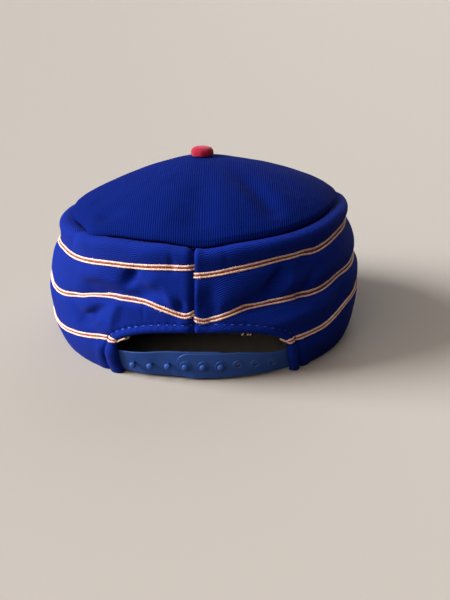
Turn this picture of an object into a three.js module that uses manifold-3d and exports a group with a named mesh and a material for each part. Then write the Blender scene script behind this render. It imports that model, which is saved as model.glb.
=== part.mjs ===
// Pillbox cap: a soft cloth crown with a domed top panel, three rows of cord trim, a covered button,
// a visor, a sweatband and a snap strap across the opening at the back.
// Millimetres, +Z up. The back of the cap faces +Y, its visor -Y, and the wearer's left is +X.
// An azimuth is in degrees, from the middle of the back towards the wearer's left and so round.
// A level is a share of the crown's height, 0 at the rim and 1 at the seam under the top panel.
import * as THREE from 'three';
import { mergeVertices } from 'three/addons/utils/BufferGeometryUtils.js';
import Module from 'manifold-3d';

const wasm = await Module();
wasm.setup();

// Cloth, and the clearance that neighbouring pieces keep
const clothThickness = 1.6;
const pieceGap = 0.3;

// Crown: the plan of its rim, its height to the seam, and the unit that its bulge is given in
const rimHalfWidth = 89.5;
const rimHalfLength = 93;
const crownHeight = 73.5;
const crownFullness = 20;
const foldDepth = 6;
const backSeamShift = 3.3;

// Top panel: its rise from the seam to the button, and how far its edge stands out over the band's end
const topRise = 31;
const seamStep = 1.8;
const dentsFadeFrom = 0.8;
const dentsFadeTo = 0.96;

// Opening at the back, and the hem rolled round its edge
const openingShift = -1;
const openingHalfWidth = 44.5;
const openingCornerHeight = 20.5;
const openingHeight = 30.8;
const openingSquareness = 2.6;
const openingEase = 0.7;
const hemWidth = 6.5;
const hemRoll = 1.3;
const hemFullness = 0.6;

// Cord trim
const stripeWidth = 2.6;
const stripeThickness = 0.8;
const stripeGap = 0.4;

// Button
const buttonRadius = 6.75;
const buttonHeight = 5.4;
const buttonShift = 1.2;

// Visor: how far round the front it reaches, its shape from above, and the arch across it
const visorHalfAngle = 62;
const visorHalfWidth = 84;
const visorReach = 65;
const visorThickness = 3;
const visorArch = 14;
const visorFlattening = 0.45;
const visorRoundness = 0.8;
const visorTuck = 6;
const rimRampClear = 7;
const rimRampAngle = 10;

// Sweatband inside the rim
const sweatbandWidth = 28;
const sweatbandThickness = 1.2;
const sweatbandLift = 0.6;
const sweatbandShow = 1.6;
const sweatbandEase = 14;

// Snap strap: two strips, narrower from a share of the opening on, and the pegs and holes that fasten them.
// The pegs are counted from the first one that is pushed home.
const strapWidth = 15.3;
const strapEndWidth = 12.2;
const strapTaperFrom = 0.4;
const strapThickness = 1.1;
const strapLift = 2.2;
const strapHidden = 16;
const strapEndMargin = 5.4;
const strapStepFrom = 2;
const strapStepTo = 10;
const fastenedShift = 9;
const pegPitch = 9.7;
const pegsFree = 3;
const pegsHome = 3;
const holesFree = 3;
const pegStemRadius = 0.8;
const pegHeadRadius = 1.7;
const pegHeadHeight = 1.8;
const holeClearance = 0.4;
const collarRadius = 3.05;
const collarHeight = 0.45;
const rootDepth = 0.4;

// Steps of the meshes
const openingColumns = 17;
const sideColumns = 24;
const topColumns = 56;
const cutterSteps = 24;
const visorColumns = 24;
const visorRows = 6;
const strapRoundSteps = 6;
const strapSteps = 22;
const buttonSides = 20;
const pegSides = 10;
const collarSides = 14;
const holeSides = 12;

// The levels that the sections below are given at
const LEVEL = { rim: 0, low: 0.2, middle: 0.42, upper: 0.67, high: 0.89, shoulder: 0.975, seam: 1 };

// Sections round the band: how far out it stands at each level, as a share of the crown's fullness
const SECTIONS = [
  { at: 0, rim: 0, low: 0.08, middle: 0.24, upper: 0.2, high: 0.02, shoulder: -0.06, seam: -0.34 },
  { at: 14, rim: 0, low: 0.14, middle: 0.24, upper: 0.16, high: 0, shoulder: -0.08, seam: -0.4 },
  { at: 28, rim: 0.04, low: 0.26, middle: 0.3, upper: 0.18, high: 0, shoulder: -0.08, seam: -0.4 },
  { at: 45, rim: 0.1, low: 0.34, middle: 0.36, upper: 0.2, high: 0, shoulder: -0.1, seam: -0.45 },
  { at: 65, rim: 0.1, low: 0.32, middle: 0.34, upper: 0.18, high: -0.08, shoulder: -0.16, seam: -0.56 },
  { at: 90, rim: 0.05, low: 0.25, middle: 0.33, upper: 0.17, high: -0.12, shoulder: -0.21, seam: -0.62 },
  { at: 120, rim: 0, low: 0.22, middle: 0.3, upper: 0.16, high: -0.1, shoulder: -0.2, seam: -0.58 },
  { at: 150, rim: 0, low: 0.14, middle: 0.24, upper: 0.14, high: -0.06, shoulder: -0.14, seam: -0.48 },
  { at: 180, rim: 0, low: 0.1, middle: 0.2, upper: 0.14, high: -0.04, shoulder: -0.12, seam: -0.42 },
  { at: 210, rim: 0, low: 0.14, middle: 0.24, upper: 0.14, high: -0.06, shoulder: -0.14, seam: -0.48 },
  { at: 240, rim: 0, low: 0.22, middle: 0.3, upper: 0.16, high: -0.1, shoulder: -0.2, seam: -0.58 },
  { at: 270, rim: 0, low: 0.22, middle: 0.29, upper: 0.16, high: -0.14, shoulder: -0.25, seam: -0.62 },
  { at: 295, rim: 0, low: 0.24, middle: 0.3, upper: 0.17, high: -0.1, shoulder: -0.18, seam: -0.56 },
  { at: 315, rim: 0, low: 0.26, middle: 0.3, upper: 0.18, high: 0, shoulder: -0.1, seam: -0.48 },
  { at: 332, rim: 0.04, low: 0.26, middle: 0.28, upper: 0.16, high: 0, shoulder: -0.08, seam: -0.42 },
  { at: 347, rim: 0, low: 0.14, middle: 0.24, upper: 0.18, high: 0, shoulder: -0.08, seam: -0.38 },
];

// The seam round the top of the band: its rise as a share of its height, and how slack the top panel is
const SEAM_FIT = [
  { at: 0, lift: 0, slack: 0.3 },
  { at: 14, lift: 0.03, slack: 0.4 },
  { at: 28, lift: 0.03, slack: 0.6 },
  { at: 45, lift: 0, slack: 0.8 },
  { at: 65, lift: -0.03, slack: 1 },
  { at: 90, lift: -0.05, slack: 1 },
  { at: 120, lift: -0.08, slack: 1 },
  { at: 150, lift: -0.12, slack: 1 },
  { at: 180, lift: -0.14, slack: 1 },
  { at: 210, lift: -0.1, slack: 1 },
  { at: 240, lift: 0, slack: 0.8 },
  { at: 270, lift: 0.085, slack: 0.3 },
  { at: 295, lift: 0.1, slack: 0.2 },
  { at: 315, lift: 0.07, slack: 0.3 },
  { at: 332, lift: 0.045, slack: 0.3 },
  { at: 347, lift: 0.03, slack: 0.3 },
];

// Folds of the band: where the middle lies, the lean of the long way in degrees from level, its half length
// and half width as shares of the crown's height, and its depth as a share of the fold depth
const FOLDS = [
  { at: 22, level: 0.73, lean: 18, length: 0.22, width: 0.05, depth: 0.5 },
  { at: 43, level: 0.67, lean: -8, length: 0.2, width: 0.06, depth: 0.3 },
  { at: 44, level: 0.4, lean: 34, length: 0.2, width: 0.06, depth: 0.45 },
  { at: 358, level: 0.66, lean: -60, length: 0.1, width: 0.06, depth: 0.4 },
  { at: 330, level: 0.74, lean: -24, length: 0.24, width: 0.05, depth: 0.35 },
  { at: 308, level: 0.45, lean: -30, length: 0.22, width: 0.07, depth: 0.35 },
];

// Dents of the top panel: the azimuth and the share of the mean radius where the middle lies, the turn of
// the long way from the front-to-back line, its half length and half width as shares of the mean radius,
// and its depth as a share of the fold depth
const TOP_DENTS = [
  { at: 50, out: 0.78, turn: 62, length: 0.2, width: 0.08, depth: 0.5 },
  { at: -30, out: 0.5, turn: -34, length: 0.34, width: 0.12, depth: 0.4 },
  { at: 150, out: 0.45, turn: 80, length: 0.4, width: 0.14, depth: 0.3 },
];

// Sections of the top panel from its edge to the button: a share of the seam's plan, and shares of the rise
// where the cloth is full and where it is slack
const TOP_SECTION = [
  { out: 1, full: 0, slack: 0 },
  { out: 1.012, full: 0.06, slack: 0.06 },
  { out: 1.004, full: 0.14, slack: 0.14 },
  { out: 0.965, full: 0.25, slack: 0.22 },
  { out: 0.88, full: 0.42, slack: 0.34 },
  { out: 0.74, full: 0.62, slack: 0.5 },
  { out: 0.56, full: 0.8, slack: 0.68 },
  { out: 0.36, full: 0.92, slack: 0.84 },
  { out: 0.16, full: 0.985, slack: 0.96 },
  { out: 0, full: 1, slack: 1 },
];

// Section of the button: shares of its radius and of its height
const BUTTON_SECTION = [
  { out: 0, up: 0 },
  { out: 0.93, up: 0 },
  { out: 1, up: 0.16 },
  { out: 1, up: 0.36 },
  { out: 0.93, up: 0.6 },
  { out: 0.75, up: 0.82 },
  { out: 0.45, up: 0.96 },
  { out: 0, up: 1 },
];

// Section of a peg's head: shares of its radius and of its height
const PEG_HEAD = [
  { out: 1, up: 0 },
  { out: 1, up: 0.35 },
  { out: 0.7, up: 0.8 },
  { out: 0, up: 1 },
];

// Levels of the trim on the wearer's left, in degrees from the middle of the back
const LEFT_STRIPES = [
  { at: 2, top: 0.892, middle: 0.566, low: 0.293 },
  { at: 5, top: 0.88, middle: 0.545, low: 0.293 },
  { at: 12, top: 0.862, middle: 0.577, low: 0.293 },
  { at: 20, top: 0.85, middle: 0.61, low: 0.293 },
  { at: 30, top: 0.838, middle: 0.63, low: 0.3 },
  { at: 40, top: 0.832, middle: 0.59, low: 0.275 },
  { at: 50, top: 0.826, middle: 0.538, low: 0.24 },
  { at: 64, top: 0.83, middle: 0.5, low: 0.31 },
  { at: 90, top: 0.79, middle: 0.5, low: 0.33 },
  { at: 180, top: 0.83, middle: 0.56, low: 0.3 },
];

// Levels of the trim on the wearer's right, in degrees from the middle of the back
const RIGHT_STRIPES = [
  { at: -2, top: 0.836, middle: 0.525, low: 0.28 },
  { at: 1, top: 0.84, middle: 0.508, low: 0.28 },
  { at: 8, top: 0.847, middle: 0.54, low: 0.28 },
  { at: 17, top: 0.858, middle: 0.572, low: 0.28 },
  { at: 28, top: 0.868, middle: 0.586, low: 0.285 },
  { at: 44, top: 0.855, middle: 0.577, low: 0.298 },
  { at: 62, top: 0.876, middle: 0.607, low: 0.39 },
  { at: 90, top: 0.89, middle: 0.615, low: 0.41 },
  { at: 180, top: 0.83, middle: 0.56, low: 0.3 },
];

const radians = THREE.MathUtils.degToRad;
const degrees = THREE.MathUtils.radToDeg;
const meanRadius = (rimHalfWidth + rimHalfLength) / 2;
const backSeamAngle = degrees(backSeamShift / meanRadius);
const halfGapAngle = degrees(pieceGap / 2 / meanRadius);
const hemEndAngle = degrees(Math.asin((openingHalfWidth + hemWidth) / rimHalfWidth));
const sweatbandEndAngle = degrees(Math.asin((openingHalfWidth - sweatbandShow) / rimHalfWidth));

// A smooth curve through the rows of a table, which never overshoots them
function smoothColumn(rows, from, to) {
  const x = rows.map((row) => row[from]);
  const y = rows.map((row) => row[to]);
  const slope = x.slice(1).map((next, i) => (y[i + 1] - y[i]) / (next - x[i]));
  const tangent = x.map((_, i) => {
    const before = slope[i - 1] ?? slope[i];
    const after = slope[i] ?? before;
    return before * after <= 0 ? 0 : (2 * before * after) / (before + after);
  });
  return (value) => {
    const at = THREE.MathUtils.clamp(value, x[0], x.at(-1));
    let i = 0;
    while (i < slope.length - 1 && at > x[i + 1]) i += 1;
    const step = x[i + 1] - x[i];
    const t = (at - x[i]) / step;
    const rise = y[i + 1] - y[i];
    const bend = tangent[i] * step * t * (1 - t) ** 2 - tangent[i + 1] * step * t * t * (1 - t);
    return y[i] + rise * t * t * (3 - 2 * t) + bend;
  };
}

// The same for a table that goes right round, with its rows at azimuths from 0 to 360
function roundColumn(rows, to) {
  const turned = (list, turn) => list.map((row) => ({ ...row, at: row.at + turn }));
  const wrapped = [...turned(rows.slice(-2), -360), ...rows, ...turned(rows.slice(0, 2), 360)];
  const curve = smoothColumn(wrapped, 'at', to);
  return (azimuth) => curve(THREE.MathUtils.euclideanModulo(azimuth, 360));
}

const levelNames = Object.keys(LEVEL);
const sectionCurves = Object.fromEntries(levelNames.map((name) => [name, roundColumn(SECTIONS, name)]));
const seamLift = roundColumn(SEAM_FIT, 'lift');
const topSlack = roundColumn(SEAM_FIT, 'slack');

// How far round from the middle of the front an azimuth is
const fromFront = (azimuth) => 180 - THREE.MathUtils.euclideanModulo(azimuth, 360);

// Height of the arch across the visor at a place x
const archAt = (x) => visorArch * Math.max(0, 1 - (x / visorHalfWidth) ** 2);

// Height of the rim: level on the floor at the back and sides, and raised over the visor at the front
function rimHeight(azimuth) {
  const raisedAngle = visorHalfAngle + rimRampClear;
  const past = Math.abs(fromFront(azimuth)) - raisedAngle;
  const angle = Math.min(Math.abs(fromFront(azimuth)), raisedAngle);
  const raised = visorThickness + pieceGap + archAt(rimHalfWidth * Math.sin(radians(angle)));
  return raised * (1 - THREE.MathUtils.smoothstep(past, 0, rimRampAngle));
}

// Depth of the folds at a place on the band
function foldsAt(azimuth, level) {
  let depth = 0;
  for (const fold of FOLDS) {
    const turn = THREE.MathUtils.euclideanModulo(azimuth - fold.at + 180, 360) - 180;
    const round = (radians(turn) * meanRadius) / crownHeight;
    const up = level - fold.level;
    const lean = radians(fold.lean);
    const along = (round * Math.cos(lean) + up * Math.sin(lean)) / fold.length;
    const across = (up * Math.cos(lean) - round * Math.sin(lean)) / fold.width;
    depth += foldDepth * fold.depth * Math.exp(-along * along - across * across);
  }
  return depth;
}

// A point of the band's outer face, before its hem
function bandPoint(azimuth, level) {
  const rows = levelNames.map((name) => ({ level: LEVEL[name], share: sectionCurves[name](azimuth) }));
  const outward = crownFullness * smoothColumn(rows, 'level', 'share')(level) - foldsAt(azimuth, level);
  const turn = radians(azimuth);
  const lifted = level + seamLift(azimuth) * level * level;
  const height = rimHeight(azimuth) * (1 - level) + crownHeight * lifted;
  return new THREE.Vector3(
    (rimHalfWidth + outward) * Math.sin(turn),
    (rimHalfLength + outward) * Math.cos(turn),
    height,
  );
}

// The outward direction of the band at a place
function bandNormal(azimuth, level) {
  const turnStep = 0.5;
  const levelStep = 0.01;
  const round = bandPoint(azimuth + turnStep, level).sub(bandPoint(azimuth - turnStep, level));
  const top = bandPoint(azimuth, Math.min(level + levelStep, 1));
  const bottom = bandPoint(azimuth, Math.max(level - levelStep, 0));
  const normal = top.sub(bottom).cross(round);
  if (level === 0) normal.setZ(0);
  return normal.normalize();
}

// Height of the opening's edge at a place x
function openingEdge(x) {
  const share = Math.min(Math.abs(x - openingShift) / openingHalfWidth, 1);
  const rise = (1 - share ** openingSquareness) ** openingEase;
  return openingCornerHeight + (openingHeight - openingCornerHeight) * rise;
}

// How far the rolled hem stands out at a point near the opening
function hemAt(point) {
  if (point.y < 0) return 0;
  const beside = Math.abs(point.x - openingShift) - openingHalfWidth;
  const above = point.z - openingEdge(point.x);
  const low = beside > 0 && point.z < openingCornerHeight;
  const inward = low ? beside : Math.hypot(Math.max(beside, 0), above);
  if (inward < 0 || inward > hemWidth) return 0;
  return hemRoll * Math.sin((Math.PI * inward) / hemWidth) ** hemFullness;
}

// The rows that the band is built with, closer where it turns over into the seam
const BAND_ROWS = [0, 0.08, 0.17, 0.27, 0.37, 0.47, 0.57, 0.67, 0.77, 0.86, 0.93, 0.975, 1];

// The outer and the inner points of the band at one azimuth, from the rim up
function bandColumn(azimuth) {
  const plain = BAND_ROWS.map((level) => bandPoint(azimuth, level));
  const normals = BAND_ROWS.map((level) => bandNormal(azimuth, level));
  return {
    outer: plain.map((point, i) => point.clone().addScaledVector(normals[i], hemAt(point))),
    inner: plain.map((point, i) => point.clone().addScaledVector(normals[i], -clothThickness)),
    normals,
  };
}

// A point on one face of a column, a distance out from it along the band's outward direction
function onColumn(column, face, level, distance) {
  let i = 0;
  while (i < BAND_ROWS.length - 2 && level > BAND_ROWS[i + 1]) i += 1;
  const share = (level - BAND_ROWS[i]) / (BAND_ROWS[i + 1] - BAND_ROWS[i]);
  const point = column[face][i].clone().lerp(column[face][i + 1], share);
  const normal = column.normals[i].clone().lerp(column.normals[i + 1], share).normalize();
  return point.addScaledVector(normal, distance);
}

// Azimuths of one half of the band, close together round the opening; side is 1 on the left, -1 on the right
function halfAzimuths(side) {
  const start = backSeamAngle + side * halfGapAngle;
  const turn = (share, from, to) => from + (to - from) * share;
  const beside = side * hemEndAngle;
  const end = side * (180 - halfGapAngle);
  const fine = Array.from({ length: openingColumns }, (_, i) => turn(i / openingColumns, start, beside));
  const wide = Array.from({ length: sideColumns + 1 }, (_, i) => turn(i / sideColumns, beside, end));
  return [...fine, ...wide];
}

// A closed body from its points and triangles, with its faces outwards
function solid(points, triangles) {
  const geometry = new THREE.BufferGeometry().setFromPoints(points);
  geometry.setIndex(triangles.flat());
  const merged = mergeVertices(geometry, 1e-4);
  const index = merged.index.array;
  const position = merged.attributes.position;
  const corner = (i) => new THREE.Vector3().fromBufferAttribute(position, i);
  const kept = [];
  let volume = 0;
  for (let i = 0; i < index.length; i += 3) {
    const [a, b, c] = [index[i], index[i + 1], index[i + 2]];
    if (a === b || b === c || c === a) continue;
    kept.push([a, b, c]);
    volume += corner(a).dot(corner(b).cross(corner(c)));
  }
  merged.setIndex(kept.map(([a, b, c]) => (volume < 0 ? [a, c, b] : [a, b, c])).flat());
  return merged;
}

// A wall between two grids of points, each a list of columns; one that runs right round has no ends
function wall(outer, inner, round = false) {
  const columns = outer.length;
  const rows = outer[0].length;
  const steps = round ? columns : columns - 1;
  const at = (face, column, row) => (face * columns + (column % columns)) * rows + row;
  const triangles = [];
  const quad = (a, b, c, d) => triangles.push([a, b, c], [a, c, d]);
  for (let c = 0; c < steps; c += 1) {
    for (let r = 0; r < rows - 1; r += 1) {
      quad(at(0, c, r), at(0, c + 1, r), at(0, c + 1, r + 1), at(0, c, r + 1));
      quad(at(1, c, r), at(1, c, r + 1), at(1, c + 1, r + 1), at(1, c + 1, r));
    }
    quad(at(0, c, 0), at(1, c, 0), at(1, c + 1, 0), at(0, c + 1, 0));
    quad(at(0, c, rows - 1), at(0, c + 1, rows - 1), at(1, c + 1, rows - 1), at(1, c, rows - 1));
  }
  for (let r = 0; r < rows - 1 && !round; r += 1) {
    quad(at(0, 0, r), at(0, 0, r + 1), at(1, 0, r + 1), at(1, 0, r));
    quad(at(0, steps, r), at(1, steps, r), at(1, steps, r + 1), at(0, steps, r + 1));
  }
  return solid([...outer.flat(), ...inner.flat()], triangles);
}

// Booleans on closed geometries
function toManifold(geometry) {
  const bare = geometry.clone();
  bare.deleteAttribute('normal');
  bare.deleteAttribute('uv');
  const merged = mergeVertices(bare, 1e-4);
  return new wasm.Manifold(new wasm.Mesh({
    numProp: 3,
    vertProperties: new Float32Array(merged.attributes.position.array),
    triVerts: new Uint32Array(merged.index.array),
  }));
}

function toGeometry(manifold) {
  const mesh = manifold.getMesh();
  const geometry = new THREE.BufferGeometry();
  geometry.setAttribute('position', new THREE.BufferAttribute(mesh.vertProperties, 3));
  geometry.setIndex(new THREE.BufferAttribute(mesh.triVerts, 1));
  return geometry;
}

const cap = new THREE.Group();

function addPiece(name, geometry, material) {
  const mesh = new THREE.Mesh(geometry, material);
  mesh.name = name;
  geometry.computeVertexNormals();
  cap.add(mesh);
  return mesh;
}

const cloth = () => new THREE.MeshStandardMaterial({ color: 0x1b2f9a, roughness: 0.85, metalness: 0 });
const trimCord = () => new THREE.MeshStandardMaterial({ color: 0xe2c4a0, roughness: 0.8, metalness: 0 });
const redCloth = () => new THREE.MeshStandardMaterial({ color: 0xc0203a, roughness: 0.75, metalness: 0 });
const creamCloth = () => new THREE.MeshStandardMaterial({ color: 0xe4dac4, roughness: 0.9, metalness: 0 });
const bluePlastic = () => new THREE.MeshStandardMaterial({ color: 0x24427c, roughness: 0.4, metalness: 0 });

// The opening's outline, cut straight through the back of the band
function openingCutter() {
  const shape = new THREE.Shape();
  shape.moveTo(openingShift - openingHalfWidth, -1);
  for (let i = 0; i <= cutterSteps; i += 1) {
    const x = openingShift - openingHalfWidth * Math.cos((Math.PI * i) / cutterSteps);
    shape.lineTo(x, openingEdge(x));
  }
  shape.lineTo(openingShift + openingHalfWidth, -1);
  const depth = 2 * rimHalfLength;
  const cutter = new THREE.ExtrudeGeometry(shape, { depth, bevelEnabled: false });
  return toManifold(cutter.rotateX(Math.PI / 2).translate(0, depth, 0));
}

// Band of the crown: two halves of cloth
function addBand() {
  const cutter = openingCutter();
  for (const [name, side] of [['side_left', 1], ['side_right', -1]]) {
    const columns = halfAzimuths(side).map(bandColumn);
    const half = wall(columns.map((column) => column.outer), columns.map((column) => column.inner));
    addPiece(name, toGeometry(toManifold(half).subtract(cutter)), cloth());
  }
}

// Cord trim: flat ribbons that follow the faces of the band
function addStripes() {
  const halfLevel = stripeWidth / 2 / crownHeight;
  const sides = [['left', 1, LEFT_STRIPES], ['right', -1, RIGHT_STRIPES]];
  for (const [sideName, side, table] of sides) {
    for (const row of ['top', 'middle', 'low']) {
      const levelAt = smoothColumn(table, 'at', row);
      const clear = (azimuth) => {
        const place = bandPoint(azimuth, levelAt(side * azimuth));
        const beside = place.y < 0 || Math.abs(place.x - openingShift) > openingHalfWidth;
        return beside || place.z - openingEdge(place.x) > stripeWidth;
      };
      const azimuths = halfAzimuths(side).filter(clear);
      const face = (distance) => azimuths.map((azimuth) => {
        const column = bandColumn(azimuth);
        const level = levelAt(side * azimuth);
        return [-1, 1].map((edge) => onColumn(column, 'outer', level + edge * halfLevel, distance));
      });
      const ribbon = wall(face(stripeGap + stripeThickness), face(stripeGap));
      addPiece(`stripe_${row}_${sideName}`, ribbon, trimCord());
    }
  }
}

// Depth of the dents at a place on the top panel
function topDentsAt(x, y) {
  let depth = 0;
  for (const dent of TOP_DENTS) {
    const offset = new THREE.Vector2(x, y).divideScalar(meanRadius);
    offset.x -= dent.out * Math.sin(radians(dent.at));
    offset.y -= dent.out * Math.cos(radians(dent.at));
    const turn = radians(dent.turn);
    const along = (offset.x * Math.sin(turn) + offset.y * Math.cos(turn)) / dent.length;
    const across = (offset.x * Math.cos(turn) - offset.y * Math.sin(turn)) / dent.width;
    depth += foldDepth * dent.depth * Math.exp(-along * along - across * across);
  }
  return depth;
}

// Top panel: a dome of cloth whose edge stands on the turned-in end of the band
function topPoint(azimuth, row) {
  const seam = bandPoint(azimuth, 1);
  const reach = Math.hypot(seam.x, seam.y);
  const share = (row.out * (reach + seamStep)) / reach;
  const rise = THREE.MathUtils.lerp(row.full, row.slack, topSlack(azimuth));
  const edgeHeight = seam.z + pieceGap;
  const apexHeight = crownHeight + topRise;
  const x = seam.x * share;
  const y = seam.y * share;
  const dent = topDentsAt(x, y) * (1 - THREE.MathUtils.smoothstep(row.out, dentsFadeFrom, dentsFadeTo));
  return new THREE.Vector3(x, y, edgeHeight + (apexHeight - edgeHeight) * rise - dent);
}

function addTop() {
  const azimuths = Array.from({ length: topColumns }, (_, i) => (360 * i) / topColumns);
  const outer = azimuths.map((azimuth) => TOP_SECTION.map((row) => topPoint(azimuth, row)));
  const apex = TOP_SECTION.length - 1;
  const inner = outer.map((column, c) => column.map((point, r) => {
    const next = outer[(c + 1) % topColumns][r];
    const round = next.clone().sub(outer[(c + topColumns - 1) % topColumns][r]);
    const up = column[Math.min(r + 1, apex)].clone().sub(column[Math.max(r - 1, 0)]);
    const normal = r === apex ? new THREE.Vector3(0, 0, 1) : up.cross(round).normalize();
    if (r === 0) normal.setZ(0).normalize();
    return point.clone().addScaledVector(normal, -clothThickness);
  }));
  addPiece('crown_top', wall(outer, inner, true), cloth());
}

// Button: a cloth-covered dome at the middle of the top
function addButton() {
  const profilePoint = (row) => new THREE.Vector2(row.out * buttonRadius, row.up * buttonHeight);
  const profile = BUTTON_SECTION.map(profilePoint);
  const dome = new THREE.LatheGeometry(profile, buttonSides).rotateX(Math.PI / 2);
  const button = addPiece('button', dome, redCloth());
  button.position.set(buttonShift, 0, crownHeight + topRise + pieceGap);
}

// Visor: an arched board covered with cloth, tucked under the rim at the front
function addVisor() {
  const endAngle = radians(visorHalfAngle);
  const backEdge = rimHalfLength * Math.cos(endAngle);
  const tip = rimHalfLength + visorReach;
  const point = (t, s, depth) => {
    const round = t * endAngle;
    const tuck = (meanRadius - visorTuck) / meanRadius;
    const innerX = rimHalfWidth * Math.sin(round) * tuck;
    const innerY = -rimHalfLength * Math.cos(round) * tuck;
    const sweep = (t * Math.PI) / 2;
    const outerX = visorHalfWidth * Math.sign(t) * Math.abs(Math.sin(sweep)) ** visorRoundness;
    const outerY = -backEdge - (tip - backEdge) * Math.cos(sweep) ** visorRoundness;
    const x = innerX + (outerX - innerX) * s;
    const y = innerY + (outerY - innerY) * s;
    const archX = rimHalfWidth * Math.sin(round) * (1 - s) + x * s;
    const arch = archAt(archX) * (1 - visorFlattening * s * s);
    return new THREE.Vector3(x, y, visorThickness + arch - depth);
  };
  const grid = (depth) => Array.from({ length: visorColumns + 1 }, (_, c) => {
    const t = (2 * c) / visorColumns - 1;
    return Array.from({ length: visorRows + 1 }, (_, r) => point(t, r / visorRows, depth));
  });
  addPiece('visor', wall(grid(0), grid(visorThickness)), cloth());
}

// Lengths along the strap are measured round its curve, from the middle of the back to the wearer's left
const strapRadius = rimHalfLength - clothThickness;
const strapLayer = strapThickness + pieceGap;
const strapAzimuth = (along) => degrees(along / strapRadius);
const strapReach = openingHalfWidth + strapHidden;
const holesEnd = fastenedShift + strapEndMargin;
const pegsEnd = fastenedShift - (pegsHome - 1) * pegPitch - strapEndMargin;

// How far inside the band's inner face each half lies: the pegged one runs out from under the other
const peggedDepth = (along) => {
  const stepStart = holesEnd + strapStepFrom;
  const under = 1 - THREE.MathUtils.smoothstep(along, stepStart, openingHalfWidth - strapStepTo);
  return pieceGap + strapLayer * under;
};
const holedDepth = () => pieceGap;

// A point on the outer face of a half of the strap, a share of the way up its width
function strapPoint(along, share, depth) {
  const column = bandColumn(strapAzimuth(along));
  const taperStart = openingHalfWidth * strapTaperFrom;
  const ease = THREE.MathUtils.smoothstep(Math.abs(along), taperStart, openingHalfWidth);
  const width = THREE.MathUtils.lerp(strapWidth, strapEndWidth, ease);
  const bottom = onColumn(column, 'inner', strapLift / crownHeight, -depth);
  const top = onColumn(column, 'inner', (strapLift + width) / crownHeight, -depth);
  return bottom.lerp(top, share);
}

// A strip with one round end; side says which way it runs from that end
function strapStrip(end, side, depthAt) {
  const radius = strapWidth / 2;
  const past = [];
  for (let i = 0; i < strapRoundSteps; i += 1) {
    past.push(radius * (1 - Math.cos((Math.PI / 2) * (i / strapRoundSteps))));
  }
  const length = Math.abs(side * strapReach - end);
  for (let i = 0; i <= strapSteps; i += 1) past.push(radius + ((length - radius) * i) / strapSteps);
  const face = (extra) => past.map((distance) => {
    const along = end + side * distance;
    const half = distance < radius ? Math.sqrt(radius ** 2 - (radius - distance) ** 2) / strapWidth : 0.5;
    return [0.5 - half, 0.5 + half].map((share) => strapPoint(along, share, depthAt(along) + extra));
  });
  return toManifold(wall(face(0), face(strapThickness)));
}

// A turned shape set on the outer face of the strap, its axis pointing out
function setOnStrap(geometry, along, depthAt) {
  const place = strapPoint(along, 0.5, depthAt(along));
  const outward = place.clone().sub(strapPoint(along, 0.5, depthAt(along) + strapThickness)).normalize();
  geometry.applyQuaternion(new THREE.Quaternion().setFromUnitVectors(new THREE.Vector3(0, 1, 0), outward));
  return toManifold(geometry.translate(place.x, place.y, place.z));
}

// Snap strap: a strip with pegs, fastened under one with holes
function addStrap() {
  const headStart = strapLayer + collarHeight + pieceGap;
  const pegProfile = [
    new THREE.Vector2(0, -rootDepth),
    new THREE.Vector2(pegStemRadius, -rootDepth),
    new THREE.Vector2(pegStemRadius, headStart),
    ...PEG_HEAD.map(({ out, up }) => new THREE.Vector2(out * pegHeadRadius, headStart + up * pegHeadHeight)),
  ];
  let pegged = strapStrip(pegsEnd, 1, peggedDepth);
  for (let i = 1 - pegsHome; i <= pegsFree; i += 1) {
    const peg = new THREE.LatheGeometry(pegProfile, pegSides);
    pegged = pegged.add(setOnStrap(peg, fastenedShift + i * pegPitch, peggedDepth));
  }
  addPiece('strap_pegs', toGeometry(pegged), bluePlastic());

  const holeRadius = pegStemRadius + holeClearance;
  const drillLength = 6 * strapThickness;
  let holed = strapStrip(holesEnd, -1, holedDepth);
  const placeOf = (i) => fastenedShift - i * pegPitch;
  for (let i = 0; i < pegsHome + holesFree; i += 1) {
    const height = collarHeight + rootDepth;
    const collar = new THREE.CylinderGeometry(collarRadius, collarRadius, height, collarSides);
    collar.translate(0, (collarHeight - rootDepth) / 2, 0);
    holed = holed.add(setOnStrap(collar, placeOf(i), holedDepth));
  }
  for (let i = 0; i < pegsHome + holesFree; i += 1) {
    const hole = new THREE.CylinderGeometry(holeRadius, holeRadius, drillLength, holeSides);
    holed = holed.subtract(setOnStrap(hole, placeOf(i), holedDepth));
  }
  addPiece('strap_holes', toGeometry(holed), bluePlastic());
}

// Sweatband: a strip inside the rim, over the ends of the strap, and open across the back
function addSweatband() {
  const strapEndAngle = strapAzimuth(strapReach) + 1;
  const allRound = [...halfAzimuths(1), ...halfAzimuths(-1).reverse().map((azimuth) => azimuth + 360)];
  const inside = allRound.filter((azimuth) => Math.min(azimuth, 360 - azimuth) > sweatbandEndAngle + 1);
  const azimuths = [sweatbandEndAngle, ...inside, 360 - sweatbandEndAngle];
  const face = (depth) => azimuths.map((azimuth) => {
    const round = Math.min(azimuth, 360 - azimuth);
    const past = THREE.MathUtils.smoothstep(round, strapEndAngle, strapEndAngle + sweatbandEase);
    const over = strapLayer * (1 - past);
    const column = bandColumn(azimuth);
    return [sweatbandLift, sweatbandLift + sweatbandWidth].map((height) =>
      onColumn(column, 'inner', height / crownHeight, -pieceGap - over - depth),
    );
  });
  addPiece('sweatband', wall(face(0), face(sweatbandThickness)), creamCloth());
}

addBand();
addStripes();
addTop();
addButton();
addVisor();
addSweatband();
addStrap();

// The origin is under the middle of the cap, on the surface that it rests on
const bounds = new THREE.Box3().setFromObject(cap);
const middle = bounds.getCenter(new THREE.Vector3());
cap.position.set(-middle.x, -middle.y, -bounds.min.z);

export default cap;
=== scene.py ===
"""Pillbox cap: the looks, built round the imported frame. Metres, +Z up, the back of the cap towards +Y."""

import contextlib
import math

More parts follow.
